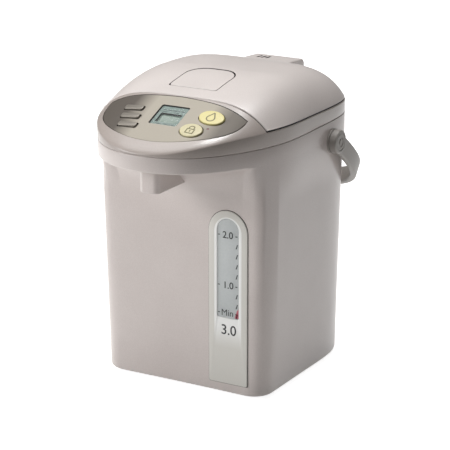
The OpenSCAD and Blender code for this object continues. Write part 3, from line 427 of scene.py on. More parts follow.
# each finish: two close colours, grain in mm, roughness from and to, relief, settings of the shader;
# real paint and moulding grain is under 0.1 mm and is drawn near 1 mm so that it shows
finishes = {
    # pearl-painted moulded ABS: soft broad highlights under a thin clear coat
    "pearlPaintedAbs": ("#C6BCB8", "#D0C7C3", 0.9, 0.30, 0.38, 0.04,
                        {"IOR": 1.5, "Coat Weight": 0.2, "Coat Roughness": 0.12}),
    # the same paint in a darker shade, painted shade for the frame, under a thicker lacquer: mirrors the lamps a
    # little more
    "shadedLacquerPearlAbs": ("#A0968F", "#AAA09B", 0.9, 0.34, 0.40, 0.03,
                          {"IOR": 1.5, "Coat Weight": 0.25, "Coat Roughness": 0.14}),
    # the same paint in a lighter shade, painted light for the lid and its pieces
    "litPearlAbs": ("#CEC6C2", "#D7CFCB", 0.9, 0.30, 0.38, 0.04,
                      {"IOR": 1.5, "Coat Weight": 0.2, "Coat Roughness": 0.12}),
    # metallic-filled moulded ABS in the panel's colour: a soft grey sheen
    "satinKeyAbs": ("#7A746C", "#857F76", 0.6, 0.36, 0.42, 0.05, {"Metallic": 0.45, "IOR": 1.53}),
    # moulded yellow ABS in two shades: warm, slightly waxy buttons
    "yellowAbs": ("#CFC481", "#D7CC8F", 1.2, 0.38, 0.46, 0.06, {"IOR": 1.53}),
    "paleYellowAbs": ("#C3BA92", "#CBC39E", 1.2, 0.38, 0.46, 0.06, {"IOR": 1.53}),
    # fine-grained moulded ABS of the handle: even grey beige, low gloss
    "grainedHandleAbs": ("#97928D", "#A29D98", 0.8, 0.42, 0.52, 0.12, {"IOR": 1.53}),
    # dark moulded acetal: black-brown, slightly shiny from wear
    "darkAcetal": ("#3B3836", "#454240", 1.5, 0.40, 0.55, 0.08, {"IOR": 1.48}),
    # unpainted moulded polypropylene, pale inside and grey below: dull and a little grainy
    "plainPolypropylene": ("#B4ADA8", "#C0BAB5", 1.4, 0.45, 0.58, 0.1, {"IOR": 1.49}),
    "basePolypropylene": ("#77726E", "#827D79", 1.4, 0.5, 0.62, 0.14, {"IOR": 1.49}),
    # moulded edge in shade: dull and dark, draws the grooves
    "shadowGroove": ("#2E2B29", "#383432", 1.5, 0.6, 0.7, 0.05, {"IOR": 1.45}),
    # drawn stainless steel: fine drawn grain, quite bright
    "drawnStainless": ("#B7B9BB", "#C6C8C9", 0.5, 0.22, 0.34, 0.1, {"Metallic": 1.0, "Anisotropic": 0.4}),
    # cast aluminium: pale, dull and pitted
    "castAluminium": ("#A9ABAD", "#B9BBBC", 0.8, 0.42, 0.55, 0.25, {"Metallic": 1.0}),
    # turned brass: yellow with a soft gloss
    "turnedBrass": ("#B69A55", "#C7AB63", 0.6, 0.28, 0.38, 0.1, {"Metallic": 1.0}),
    # moulded white silicone rubber: milky, slightly dusty
    "whiteSilicone": ("#DDD9D4", "#E8E5E0", 2.0, 0.5, 0.62, 0.08, {"IOR": 1.41}),
    # moulded black rubber: deep and dull
    "blackRubber": ("#2A2A2B", "#343435", 1.2, 0.68, 0.8, 0.2, {"IOR": 1.52}),
    # lacquered glass-fibre board: green with a weave that barely shows
    "greenCircuitBoard": ("#35603F", "#42704D", 2.2, 0.35, 0.45, 0.1, {"IOR": 1.55}),
    # pad-printed inks on plastic: thin, flat and satin
    "darkInk": ("#141518", "#1D1E22", 0.8, 0.45, 0.55, 0.03, {"IOR": 1.5}),
    "redInk": ("#A8505E", "#B65E6B", 0.8, 0.45, 0.55, 0.03, {"IOR": 1.5}),
    "olivePrint": ("#6F6842", "#7B744C", 0.8, 0.45, 0.55, 0.03, {"IOR": 1.5}),
    "tealPrint": ("#647770", "#6E817A", 0.9, 0.35, 0.42, 0.02, {"IOR": 1.5}),
    # liquid crystal display glass: flat grey green behind its printed surround
    "crystalScreen": ("#6E8074", "#788A7E", 0.9, 0.22, 0.3, 0.02, {"IOR": 1.52}),
    # clear moulded polycarbonate and drawn glass: only their gloss shows
    "clearPolycarbonate": ("#DDE5E4", "#E6EDEC", 2, 0.05, 0.09, 0.01, {"IOR": 1.585, "Alpha": 0.03}),
    "drawnGlass": ("#E4ECEE", "#F2F7F8", 2, 0.03, 0.06, 0.01, {"IOR": 1.5, "Alpha": 0.06}),
    # clear moulded acrylic with a milky veil, painted light over the shaded gauge behind
    "litVeilAcrylic": ("#EDF2F2", "#F4F8F8", 2, 0.05, 0.09, 0.01, {"IOR": 1.49, "Alpha": 0.38}),
    # white moulded ABS behind the gauge tube: bright and satin
    "gaugeBackAbs": ("#F7F8F8", "#FBFCFC", 1.0, 0.4, 0.5, 0.04, {"IOR": 1.53}),
    # tinted moulded acrylic of the lamp: dark red while unlit, glossy
    "redLampLens": ("#5E2B2A", "#6C3331", 1.0, 0.15, 0.2, 0.01, {"IOR": 1.49}),
}
materials = {name: surface(name, look) for name, look in finishes.items()}
print("materials made:", len(materials))

# Lower body: rounded box that coves out to the collar
bodyLook = {"footRound": 6, "footRise": 4.5, "bands": (60, 120, 175), "leanFrom": 22, "leanRun": 14,
            "edge": 1.6, "coveSteps": 24, "floor": 2, "jointGap": 0.2}


def bodySection(a):
    b, wall, foot, flare, collar = bodyLook, plan["wall"], level["foot"], level["flare"], level["collar"]
    p, q = bodyAt(a, flare), ringAt(a)
    top = joint(q[1]) - b["jointGap"]
    run = dist(p, q)
    rows = []
    for u, v in bend(6):
        z = foot + b["footRise"] * u
        rows.append((*bodyAt(a, z, b["footRound"] * (1 - v)), z))
    rows += [(*bodyAt(a, z), z) for z in b["bands"]]
    # at the sides the body runs on into the collar, with no cove and hardly an edge
    lean = clamp((b["leanFrom"] - run) / b["leanRun"])
    edge = min(b["edge"], run / 2) * (1 - 0.95 * lean)
    for t in turns(0, degrees(acos(edge / run)), b["coveSteps"]):
        share, rise = 1 - cos(t), sin(t)
        share += (rise * rise * (3 - 2 * rise) - share) * lean
        rows.append((*between(p, q, share), flare + (collar - flare) * rise))
    low = rows[-1][2]
    rows += [(*ringAt(a, edge * (1 - sin(t))), low + (collar + edge - low) * (1 - cos(t)))
             for t in turns(15, 90, 5)]
    rows += [(*ringAt(a, inset), top - drop) for inset, drop in ((0, 0.55), (0.12, 0.25), (0.5, 0), (wall, 0))]
    rows += [(*between(bodyAt(a, flare, wall), ringAt(a, wall), 1 - cos(t)),
              flare + (collar + wall - flare) * sin(t)) for t in turns(90, 0, 5)]
    return rows + [(*bodyAt(a, foot, inset), foot + b["floor"]) for inset in (wall, b["footRound"])]


gauge = {"x": 54.4, "width": 43.5, "low": 14, "high": 193, "windowWidth": 24.5, "windowLow": 83,
         "windowHigh": 185, "proud": 1.2, "front": 87, "round": 0.7, "windowRound": 0.35, "cutRoom": 1.5}
inlet = {"size": (36.3, 22.3), "round": 0.6, "z": 40, "through": (90, 110)}


def archOutline(w, z0, z1, r=2, side=24, base=12):
    # upright, with a half round above and small corners below
    x, half, shoulder = gauge["x"], w / 2, z1 - w / 2
    points = [(x + half * cos(t), shoulder + half * sin(t)) for t in turns(0, 180, 48)[:-1]]
    points += [(x - half, shoulder - (shoulder - z0 - r) * k / side) for k in range(side)]
    points += [(x - half + r * u, z0 + r - r * v) for u, v in bend(6)[:-1]]
    points += [(x - half + r + (w - 2 * r) * k / base, z0) for k in range(base)]
    points += [(x + half - r + r * sin(t), z0 + r - r * cos(t)) for t in turns(0, 90, 6)[:-1]]
    return points + [(x + half, z0 + r + (shoulder - z0 - r) * k / side) for k in range(side)]


def uprightRow(outline, y):
    return [(x, y, z) for x, z in outline]


def makeBody():
    shell = skin("bodyShell", [bodySection(a) for a in directions()], "pearlPaintedAbs")
    g, room = gauge, gauge["cutRoom"]
    hole = archOutline(g["windowWidth"] + 2 * room, g["windowLow"] - room, g["windowHigh"] + room)
    window = skin("windowCut", [uprightRow(hole, y - g["front"]) for y in (-1, 4)],
                  "gaugeBackAbs", False)
    opening = [(x, z + inlet["z"]) for x, z in slabOutline(*inlet["size"], inlet["round"])]
    socket = skin("inletCut", [uprightRow(opening, y) for y in inlet["through"]], "darkAcetal", False)
    cutAway(shell, window, socket)
    dress(smooth(shell), "shell", "body_shell")


makeBody()

# Upper frame: skirt, control slope and the rim round the lid
frameLook = {"lip": 14, "seamLip": 2.2, "roofSteps": 46, "underSteps": 6, "rimGap": 0.7, "plate": 3,
             "round": 0.9, "innerRound": 0.5, "lidRoom": 0.5}


def ringAngle(y):
    return degrees(atan2(-y, halfWidth(-y)))


def roofHeight(x, y):
    return frameTop(x, y) - rounding(max(-seamY - y, 0), frameLook["round"])


def frameSection(a):
    f, wall = frameLook, plan["wall"]
    c = ringAt(a)
    front = c[1] < -seamY - 0.3
    s = (c[0], -seamY) if front else ringAt(a, wall + f["lidRoom"])
    d = dist(c, s)
    back = between(s, c, min(f["seamLip"] / d, 0.33) if front else 0.1)
    inner = ringAt(a, min(wall, d / 3))
    top = frameTop(*s) if front else rimAt(*c) - f["rimGap"]
    foot = joint(c[1])
    low = top - f["lip"] if front else foot + f["plate"] + f["lidRoom"]
    # a small soft edge along the joint
    rows = [(*ringAt(a, min(0.5, d / 4)), foot), (*ringAt(a, min(0.12, d / 8)), foot + 0.25), (*c, foot + 0.6)]
    for k in range(f["roofSteps"] + 1):
        t = (1 - cos(pi * k / f["roofSteps"])) / 2
        p = between(c, s, t)
        z = roofHeight(*p) if front else top - rounding(t * d, f["round"]) - rounding((1 - t) * d, f["innerRound"])
        rows.append((*p, z))
    rows += [(*s, low), (*back, low)]
    for k in range(f["underSteps"] + 1):
        p = between(back, inner, k / f["underSteps"])
        rows.append((*p, frameTop(*p) - wall if front else low - 0.05 * (k + 1)))
    return rows + [(*inner, foot)]


panel = {"half": 76.5, "length": 64.3, "thick": 1.2, "setback": 1.8, "power": 2.1, "tipRound": 6.3,
         "tipPower": 1.3, "lastTurn": 86.5, "round": 0.45, "recess": 0.3, "recessGap": 0.55}


def panelSpan(x, grow=0):
    p = panel
    u = min(abs(x) / p["half"], 1)
    edge = -seamY - p["setback"]
    top = edge - p["tipRound"] * u ** p["tipPower"]
    low = edge - p["tipRound"] - (p["length"] - p["tipRound"]) * (1 - u ** p["power"]) ** (1 / p["power"])
    return low - grow, top + grow


def crownPlate(name, columns, above, below, finish, steps=40, edge=0):
    # a plate that follows the crown; each column is (x, y from, y to), and edge softens its outline
    rows = []
    for x, low, high in columns:
        ys = [low + (high - low) * (1 - cos(pi * k / steps)) / 2 for k in range(steps + 1)]
        rows.append([(x, y, crown(x, y) + above - (rounding(min(y - low, high - y), edge) if edge else 0))
                     for y in ys] + [(x, y, crown(x, y) - below) for y in reversed(ys)])
    return skin(name, rows, finish, False)


def panelColumns(grow=0):
    columns = []
    for t in turns(-panel["lastTurn"], panel["lastTurn"], 144):
        x = panel["half"] * sin(t)
        columns.append((x * (1 + grow / panel["half"]), *panelSpan(x, grow)))
    return columns


# Control panel with its display, buttons and keys
controls = {"display": (3, -111), "displaySize": (31, 30), "displayGap": 0.4, "displayRound": 2,
            "pour": (46.6, -105), "pourSize": (12.9, 10), "lock": (36.6, -126.5), "lockSize": (11.6, 9.6),
            "lamp": (50.5, -119), "lampSize": (1.2, 1.2), "lampGap": 0.15,
            "keys": ((-39, -106.5), (-36, -118.5), (-32, -130.5)), "keySize": (20.5, 6.5), "keyRound": 2,
            "rise": 1.6, "depth": 5.1, "flange": 1.2, "flangeRound": 2.4, "gap": 0.85, "neck": 3,
            "swell": 0.35, "swellSpan": 0.93, "buttonEdge": 0.9, "keyEdge": 0.8}


def controlCuts(extra=0):
    # cutters for the display, the buttons, the lamp and the keys
    c = controls
    room = c["displayGap"] + extra
    holes = [(slabOutline(*(side + room for side in c["displaySize"]), c["displayRound"]),
              crownPlace(c["display"], False))]
    for name, gap in (("pour", c["gap"]), ("lock", c["gap"]), ("lamp", c["lampGap"])):
        holes.append((ovalOutline(*(half + gap + extra / 2 for half in c[name + "Size"])), crownPlace(c[name])))
    room = 2 * c["gap"] + extra
    hole = slabOutline(*(side + room for side in c["keySize"]), c["flangeRound"])
    holes += [(hole, crownPlace(at)) for at in c["keys"]]
    return [pillow("controlCut", [(outline, z) for z in (-6, 6)], "shadowGroove", place)
            for outline, place in holes]


def makeFrame():
    marks = [ringAngle(seamY + 0.5), ringAngle(seamY)]
    # the frame takes the darker copy of the body's paint: painted shade
    part = skin("upperFrame", [frameSection(a) for a in directions(*marks)], "shadedLacquerPearlAbs")
    recess = crownPlate("panelCut", panelColumns(panel["recessGap"]), 4, panel["thick"] + panel["recess"],
                        "shadowGroove", 24)
    cutAway(part, recess, *controlCuts(0.1))
    dress(smooth(part, 38, roofHeight, 0.955), "shell", "upper_frame")


makeFrame()
print("body and frame made")

# painted shade at the two tips: where it starts and is full, in metres, and how full;
# the metal flake is some 0.05 mm and is drawn at 0.7 mm so that it shows
panelLook = {"left": (-0.022, -0.044, 1), "right": (0.042, 0.062, 0.85), "flake": 0.7, "metallic": 0.08,
             "ior": 1.25, "roughness": (0.46, 0.52), "paint": ("#A49D91", "#ADA69A"), "shade": "#5E5852"}


def panelPaintWithShade(name):
    # satin metallic paint in taupe, with painted shade darkening it towards the two tips
    look = panelLook
    material, tree, shader, place = blankMaterial(name)
    across = addNode(tree, "SeparateXYZ", links={0: place}).outputs["X"]
    left, right = (addNode(tree, "MapRange", {"From Min": start, "From Max": full, "To Max": most},
                           {"Value": across}) for start, full, most in (look["left"], look["right"]))
    tipShade = addNode(tree, "Math", {"operation": "MAXIMUM"}, {0: left, 1: right})
    flake = addNode(tree, "TexNoise", {"Scale": perMetre(look["flake"]), "Detail": 2}, {"Vector": place})
    dark, light = map(linear, look["paint"])
    paint = addNode(tree, "Mix", {"data_type": "RGBA", 6: dark, 7: light}, {"Factor": flake})
    tone = addNode(tree, "Mix", {"data_type": "RGBA", 7: linear(look["shade"])},
                   {"Factor": tipShade, 6: paint.outputs[2]})
    smoothest, roughest = look["roughness"]
    rough = addNode(tree, "MapRange", {"To Min": smoothest, "To Max": roughest}, {"Value": flake})
    shader.inputs["Metallic"].default_value = look["metallic"]
    shader.inputs["IOR"].default_value = look["ior"]
    connect(tree, shader, {"Base Color": tone.outputs[2], "Roughness": rough})
    return material


materials["satinPaintTipShade"] = panelPaintWithShade("satinPaintTipShade")


def makePanel():
    plate = crownPlate("controlPanel", panelColumns(), 0, panel["thick"], "satinPaintTipShade", 56, panel["round"])
    cutAway(plate, *controlCuts())
    dress(smooth(plate, 35, crown), "panel", "control_panel")


makePanel()


def buttonCrown(share):
    # height of a button's shallow crown, by the share of the way to its edge
    c = controls
    return c["rise"] - c["swell"] * (share / c["swellSpan"]) ** 2


def buttonRows(ring, wide, high, edge):
    # a wide flange below, a neck and a rounded cap
    top = controls["flange"] - controls["depth"]
    return [(wide, -controls["depth"]), (wide, top), (ring(0), top)] \
        + roundedRows(ring, -controls["neck"], high, edge)


def makeOvalButton(kind, finish):
    c = controls
    size = c[kind + "Size"]

    def ring(inset):
        return ovalOutline(size[0] - inset, size[1] - inset)

    rows = buttonRows(ring, ring(-c["flange"]), c["rise"] - c["swell"], c["buttonEdge"])
    rows += [(ovalOutline(size[0] * s, size[1] * s), buttonCrown(s)) for s in (0.8, 0.6, 0.4, 0.2, 0.05)]
    button = pillow(kind + "Button", rows, finish, crownPlace(c[kind]))
    dress(smooth(button), kind + "_yellow", kind + "_button", body=kind + "_button")


makeOvalButton("pour", "yellowAbs")
makeOvalButton("lock", "paleYellowAbs")


def arcLine(cx, cy, r, first, last):
    return [(cx + r * cos(t), cy + r * sin(t)) for t in turns(first, last, 16)]


# lines of a drop of water and of a closed padlock
icons = {"width": 1.3, "lift": 0.1,
         "pour": [arcLine(0, -2, 4, 150, 390), [(3.46, 0), (0, 6.6)], [(0, 6.6), (-3.46, 0)]],
         "lock": [[(-4.5, 0.6), (4.5, 0.6)], [(-4.5, -5.2), (4.5, -5.2)], [(-3.9, 0.6), (-3.9, -5.2)],
                  [(3.9, 0.6), (3.9, -5.2)], [(-2.6, 0.6), (-2.6, 2.4)] + arcLine(0, 2.4, 2.6, 180, 0) + [(2.6, 0.6)],
                  [(0, -1.2), (0, -3.4)]]}


def printIcon(kind):
    # each line becomes a ribbon of ink on the button's crown
    w, d = controls[kind + "Size"]
    half = icons["width"] / 2
    points, faces = [], []
    for line in icons[kind]:
        faces += ribbonFaces(len(points), len(line))
        for i, (x, y) in enumerate(line):
            ax, ay = line[max(i - 1, 0)]
            bx, by = line[min(i + 1, len(line) - 1)]
            n = hypot(bx - ax, by - ay) or 1
            nx, ny = -(by - ay) / n * half, (bx - ax) / n * half
            points += [(px, py, buttonCrown(hypot(px / w, py / d)) + icons["lift"])
                       for px, py in ((x + nx, y + ny), (x - nx, y - ny))]
    ink = makeMesh(kind + "Icon", points, faces, "olivePrint", crownPlace(controls[kind]))
    dress(smooth(ink, 35), kind + "_yellow", body=kind + "_button")


printIcon("pour")
printIcon("lock")


def makeKeys():
    c = controls
    w, d = c["keySize"]

    def ring(inset):
        return slabOutline(w - 2 * inset, d - 2 * inset, max(c["keyRound"] - inset, 0.2))

    wide = slabOutline(w + 2 * c["flange"], d + 2 * c["flange"], c["flangeRound"])
    rows = buttonRows(ring, wide, c["rise"], c["keyEdge"])
    for at, name in zip(c["keys"], ("top", "middle", "bottom")):
        key = pillow(name + "Key", rows, "satinKeyAbs", crownPlace(at))
        dress(smooth(key), "panel", "key_" + name, body="key_" + name)


makeKeys()

# each mark is a bar of the printed surround: x from and to, y from and to
display = {"mask": 1.4, "screen": (23.5, 14), "screenAt": (0.5, -2.6), "screenDepth": 3.4, "depth": 15,
           "round": 1.8, "lensEdge": 0.3, "lensDrop": 0.2,
           "marks": ((-11, -8, 8.6, 9.5), (-6.5, -2.5, 8.6, 9.5), (-1, 3.5, 8.6, 9.5), (5, 7, 8.6, 9.5),
                     (8.5, 11.5, 8.6, 9.5), (-11, -6, 5.8, 6.5), (1, 7, 5.8, 6.5),
                     (-9, -3, -12.6, -11.9), (0, 4, -12.6, -11.9), (6, 11, -12.6, -11.9))}


def makeDisplay():
    d = display
    w, h = controls["displaySize"]
    place = crownPlace(controls["display"], False)
    inner = [(x + d["screenAt"][0], y + d["screenAt"][1]) for x, y in slabOutline(*d["screen"], 0.6)]
    outer = slabOutline(w - 1, h - 1, 1.5)
    top = -d["mask"]
    rows = [(outer, -panel["thick"] - d["depth"]), (outer, top), (inner, top), (inner, -d["screenDepth"])]
    mask = pillow("displayMask", rows, "tealPrint", place)
    for name in ("crystalScreen", "shadowGroove"):
        mask.data.materials.append(materials[name])
    mask.data.polygons[len(mask.data.polygons) - 1].material_index = 1      # the screen closes the stack
    # the wall that drops to the screen is dark: painted shade
    for face in list(mask.data.polygons)[2 * len(outer):3 * len(outer)]:
        face.material_index = 2     # the wall that drops to the screen
    dress(smooth(mask, 30), "display", "lcd_module")

    def ring(inset):
        return slabOutline(w - 2 * inset, h - 2 * inset, d["round"] - inset)

    lens = pillow("displayLens", roundedRows(ring, -panel["thick"], -d["lensDrop"], d["lensEdge"]),
                  "clearPolycarbonate", place)
    dress(smooth(lens), "display_lens", "lcd_lens")
    points = [(x, y, top + 0.05) for x0, x1, y0, y1 in d["marks"]
              for x, y in ((x0, y0), (x1, y0), (x1, y1), (x0, y1))]
    faces = [tuple(range(n, n + 4)) for n in range(0, len(points), 4)]
    dress(makeMesh("displayMarks", points, faces, "darkInk", place), "display")


makeDisplay()
print("controls made")

# Spout cover: a flat-sided nose below the beak
spout = {"width": 22, "front": 146, "back": 96, "low": 217, "top": 245.3, "round": 6, "edge": 1.4}


def noseOutline(inset):
    s = spout
    w, r = s["width"] / 2 - inset, s["round"] - min(inset, 3)
    front, back = -s["front"] + inset, -s["back"] - inset
    points = [(w, back)]
    points += [(w - r * u, front + r * (1 - v)) for u, v in bend(10)]
    points += [(-w + r * (1 - v), front + r * u) for u, v in bend(10)]
    return points + [(-w, back)]


def makeSpout():
    s = spout
    rows = [(noseOutline(s["edge"] * (1 - v)), s["low"] + s["edge"] * u) for u, v in bend(5)]
    rows.append((noseOutline(0), s["top"]))
    dress(smooth(pillow("spoutNose", rows, "pearlPaintedAbs")), "shell", "spout_cover")


makeSpout()

# gauge plate: half the width of its white print, the print's span and its fade from below, all in metres
printBand = {"half": 0.01525, "low": 0.0518, "high": 0.1863, "fade": 0.022, "soft": 0.0002, "white": "#EFEFED",
             "cream": ("#D1CEC7", "#D6D4CE"), "grain": 1.0, "roughness": (0.36, 0.44), "ior": 1.53}


def printedPlastic(name):
    # cream moulded ABS with a white printed band round the window that fades out below
    b = printBand
    material, tree, shader, place = blankMaterial(name)
    split = addNode(tree, "SeparateXYZ", links={0: place}).outputs
    aside = addNode(tree, "Math", {"operation": "SUBTRACT", 1: gauge["x"] / 1000}, {0: split["X"]})
    over = addNode(tree, "Math", {"operation": "SUBTRACT", 1: b["high"] - b["half"]}, {0: split["Z"]})
    above = addNode(tree, "Math", {"operation": "MAXIMUM", 1: 0.0}, {0: over})
    spot = addNode(tree, "CombineXYZ", links={0: aside, 1: above})
    reach = addNode(tree, "VectorMath", {"operation": "LENGTH"}, {0: spot})
    inside = addNode(tree, "MapRange", {"From Min": b["half"] + b["soft"], "From Max": b["half"] - b["soft"]},
                     {"Value": reach.outputs["Value"]})
    fade = addNode(tree, "MapRange", {"From Min": b["low"], "From Max": b["low"] + b["fade"]}, {"Value": split["Z"]})
    printed = addNode(tree, "Math", {"operation": "MULTIPLY"}, {0: inside, 1: fade})
    grain = addNode(tree, "TexNoise", {"Scale": perMetre(b["grain"]), "Detail": 3}, {"Vector": place})
    dark, light = map(linear, b["cream"])
    cream = addNode(tree, "Mix", {"data_type": "RGBA", 6: dark, 7: light}, {"Factor": grain})
    both = addNode(tree, "Mix", {"data_type": "RGBA", 7: linear(b["white"])},
                   {"Factor": printed, 6: cream.outputs[2]})
    smoothest, roughest = b["roughness"]
    rough = addNode(tree, "MapRange", {"To Min": smoothest, "To Max": roughest}, {"Value": grain})
    shader.inputs["IOR"].default_value = b["ior"]
    connect(tree, shader, {"Base Color": both.outputs[2], "Roughness": rough})
    return material


materials["printedCreamAbs"] = printedPlastic("printedCreamAbs")


# Level gauge: raised plate with a dark ring of painted shade round it, and its window
def makeGauge():
    g = gauge
    y, out, edge, lip = -g["front"], -g["front"] - g["proud"], g["round"], g["windowRound"]
    w, low, high = g["windowWidth"], g["windowLow"], g["windowHigh"]
    rows = [uprightRow(archOutline(g["width"], g["low"], g["high"]), y + 0.02)]
    for e, rise in ((edge * u, edge * v) for u, v in bend(4)):
        rows.append(uprightRow(archOutline(g["width"] - 2 * e, g["low"] + e, g["high"] - e), out + edge - rise))
    rows += [uprightRow(archOutline(w + 2 * e, low - e, high + e), out + lip - e) for e in (lip, 0.1, 0)]
    rows.append(uprightRow(archOutline(w, low, high), y + 0.02))
    # a flat dark strip on the body round the plate: painted shade of the seam
    shadeOutline = [uprightRow(archOutline(g["width"] + e, g["low"] - e / 2, g["high"] + e / 2), y - 0.05)
              for e in (1.1, 0)]
    strip = makeMesh("gaugeShadeRing", shadeOutline[0] + shadeOutline[1], skinFaces(2, len(shadeOutline[0]), False),
                     "shadowGroove")
    dress(strip, "gauge_plate")
    dress(smooth(skin("gaugePlate", rows, "printedCreamAbs")), "gauge_plate", "gauge_bezel")
    sheet = archOutline(w - 0.2, low + 0.1, high - 0.1)
    # the pane's milky veil is painted light on the window
    pane = skin("gaugePane", [uprightRow(sheet, d) for d in (y + 1, y - 0.6)], "litVeilAcrylic", False)
    dress(smooth(pane), "clear_window", "gauge_window")


makeGauge()

# Printed marks: y of the print on the window and on the plate, then the height of each line
marks = {"window": -87.68, "plate": -88.26, "two": 168.0, "one": 116.7, "low": 88.1, "three": 70.3,
         "size": 9.8, "lowSize": 9.4, "threeSize": 14.5, "bold": 0.12, "lowBold": 0.01}


def writing(name, text, size, x, z, y, bold=marks["bold"]):
    # upright lettering, centred on x and z
    curve = bpy.data.curves.new(name, "FONT")
    curve.body, curve.size, curve.align_x, curve.align_y = text, size / 1000, "CENTER", "CENTER"
    curve.extrude, curve.offset = 0.00002, bold / 1000
    obj = addObject(name, curve)
    mesh = bpy.data.meshes.new_from_object(obj)
    bpy.data.objects.remove(obj)
    mesh.transform(Matrix.Translation((x / 1000, y / 1000, z / 1000)) @ Matrix.Rotation(pi / 2, 4, "X"))
    mesh.materials.clear()
    mesh.materials.append(materials["darkInk"])
    dress(addObject(name, mesh), "clear_window")


def windowPrint(name, shapes, finish):
    # flat printed shapes on the window, each a list of (x, z) corners
    points, faces = [], []
    for shape in shapes:
        faces.append(tuple(range(len(points), len(points) + len(shape))))
        points += uprightRow(shape, marks["window"])
    dress(makeMesh(name, points, faces, finish), "clear_window")


def makeMarks():
    x, m = gauge["x"], marks
    low = m["low"]
    writing("markTwo", "2.0", m["size"], x - 0.3, m["two"], m["window"])
    writing("markOne", "1.0", m["size"], x + 0.2, m["one"], m["window"])
    writing("markLow", "Min", m["lowSize"], x - 0.8, low, m["window"], m["lowBold"])
    writing("markThree", "3.0", m["threeSize"], x + 1, m["three"], m["plate"])
    dashes = [[(a, z - 0.5), (a + 2.4, z - 0.5), (a + 2.4, z + 0.5), (a, z + 0.5)]
              for z in (m["two"], m["one"], low) for a in (x - 11.6, x + 8.2)]
    step = (m["two"] - m["one"]) / 5
    for z in (m["one"] + step * k for k in (-3, -2, -1, 1, 2, 3, 4)):
        dashes.append([(x + 8.5, z - 2.3), (x + 9.7, z - 2.3), (x + 11.2, z + 2.3), (x + 10, z + 2.3)])
    windowPrint("scaleTicks", dashes, "darkInk")
    windowPrint("lowPatch", [[(x + 7.4, low - 4), (x + 11.9, low - 4), (x + 11.9, low + 6.2), (x + 10, low + 3.7)]],
                "redInk")


makeMarks()
print("spout and gauge made")

# Carrying handle: a bowed band with round ends; each ring is a radius and a depth below the end's face
handle = {"pivot": (37.5, 241), "inside": 105, "thick": 6.5, "width": 19, "reach": 112, "drop": 36, "power": 3.2,
          "boss": 12, "bossLength": 7.2, "bossRound": 1.6, "round": 2.4, "steps": 96,
          "rings": ((9.2, 0), (8.9, 0.5), (8.5, 0.5), (8.2, 0), (5.1, 0), (5.06, 0.4), (0.5, 0.4))}


def bowPoint(w, d, t):
    n = 2 / handle["power"]
    c = cos(t)
    return (copysign(abs(c) ** n, c) * w, abs(sin(t)) ** n * d)


def makeHandle():
    h = handle
    y, z = h["pivot"]
    turn = Matrix.Translation((0, y, z)) @ Matrix.Rotation(radians(-h["drop"]), 4, "X")
    section = slabOutline(h["thick"], h["width"], h["round"], 6)
    rows = []
    for t in turns(0, 180, h["steps"]):
        outer = bowPoint(h["inside"] + h["thick"], h["reach"] + h["thick"] / 2, t)
        inner = bowPoint(h["inside"], h["reach"] - h["thick"] / 2, t)
        rows.append([(*between(inner, outer, u / h["thick"] + 0.5), v) for u, v in section])
    parts = [smooth(skin("handleBand", rows, "grainedHandleAbs", False, turn))]
    r, end = h["bossRound"], h["bossLength"]
    profile = [(0.5, 0), (h["boss"], 0)]
    profile += [(h["boss"] - r * u, end - r + r * v) for u, v in bend(5)]
    profile += [(radius, end - depth) for radius, depth in h["rings"]]
    for side in (1, -1):
        rows = [[(side * (h["inside"] - 0.1 + d), y + r * cos(a), z + r * sin(a) * side)
                 for r, d in profile] for a in turns(0, 360, 64)[:-1]]
        parts.append(smooth(skin("boss", rows, "grainedHandleAbs")))
    dress(joined("carryHandle", *parts), "handle_moulding", "handle", body="handle")


makeHandle()

# Lid: domed cover, its lever and the steam vent housing behind; shares of the way from the middle to the edge
lid = {"front": 80.5, "inset": 0.6, "lift": 0.9, "edge": 5, "middle": (0, 10), "round": 1.3, "least": 0.8,
       "start": 0.05, "lip": 0.972, "under": (0.955, 0.92, 0.86, 0.78, 0.66, 0.5, 0.3, 0.05)}


def lidEdge(a):
    p = ringAt(a, lid["inset"])
    return (-lid["front"] / tan(a), -lid["front"]) if p[1] < -lid["front"] else p


def lidRay(a):
    p, mid, start = lidEdge(a), lid["middle"], lid["start"]
    low = rimAt(*p) + lid["lift"]
    if p[1] < -lid["front"] + 0.01:
        low = max(crown(*p) - lid["edge"], low)
    run, least = dist(p, mid), low + lid["least"]
    r = min(lid["round"], (max(crown(*p), least) - low) * 0.8)
    rows = []
    for t in turns(0, 90, 40):
        f = start + (1 - start) * sin(t)
        q = between(mid, p, f)
        rows.append((*q, max(crown(*q), least) - rounding((1 - f) * run, r)))
    rows += [(*p, low), (*between(mid, p, lid["lip"]), low)]
    for q in (between(mid, p, f) for f in lid["under"]):
        rows.append((*q, max(crown(*q) - plan["wall"], low + 0.1)))
    return rows


lever = {"width": 53, "front": -62.5, "rear": -12.5, "thick": 2, "round": 0.6, "gap": 0.9, "frontGap": 0.6,
         "rearGap": 1, "frontRound": 3, "rearRound": 20, "axis": (-20.5, crown(0, -20.5) - 3), "lug": 10,
         "lugThick": 3.5, "heel": (12, -2.5), "heelRadius": 1.5,
         "cheek": ((-9, 0.6), (-9, -1.5), (0, -3), (12, -4), (13.4, -2.5), (12, -1), (5, 0.2), (3, 2))}


def leverColumns(grow=0, front=0, rear=0):
    v = lever
    half = v["width"] / 2 + grow
    columns = []
    for t in turns(-90, 90, 80):
        x = half * sin(t)
        e = half - abs(x)
        columns.append((x, v["front"] - grow - front + rounding(e, v["frontRound"]),
                        v["rear"] + grow + rear - rounding(e, v["rearRound"] + grow)))
    return columns


vent = {"width": 55, "front": 74, "back": 118, "top": 302.5, "crest": 304.6, "wall": 2, "round": 6, "sideRound": 2.2,
        "low": 282.5, "foot": 277.2, "hinge": 104.5, "slots": (-15, -10, -5), "slotY": 98, "slotSize": (2.5, 12, 1.2),
        "slotSpan": (294, 315), "seatY": 104, "seatDepth": 60.3, "seatSpan": (256, 336), "seatGap": 0.3,
        "hollowFloor": 250, "hollowGap": 0.4}


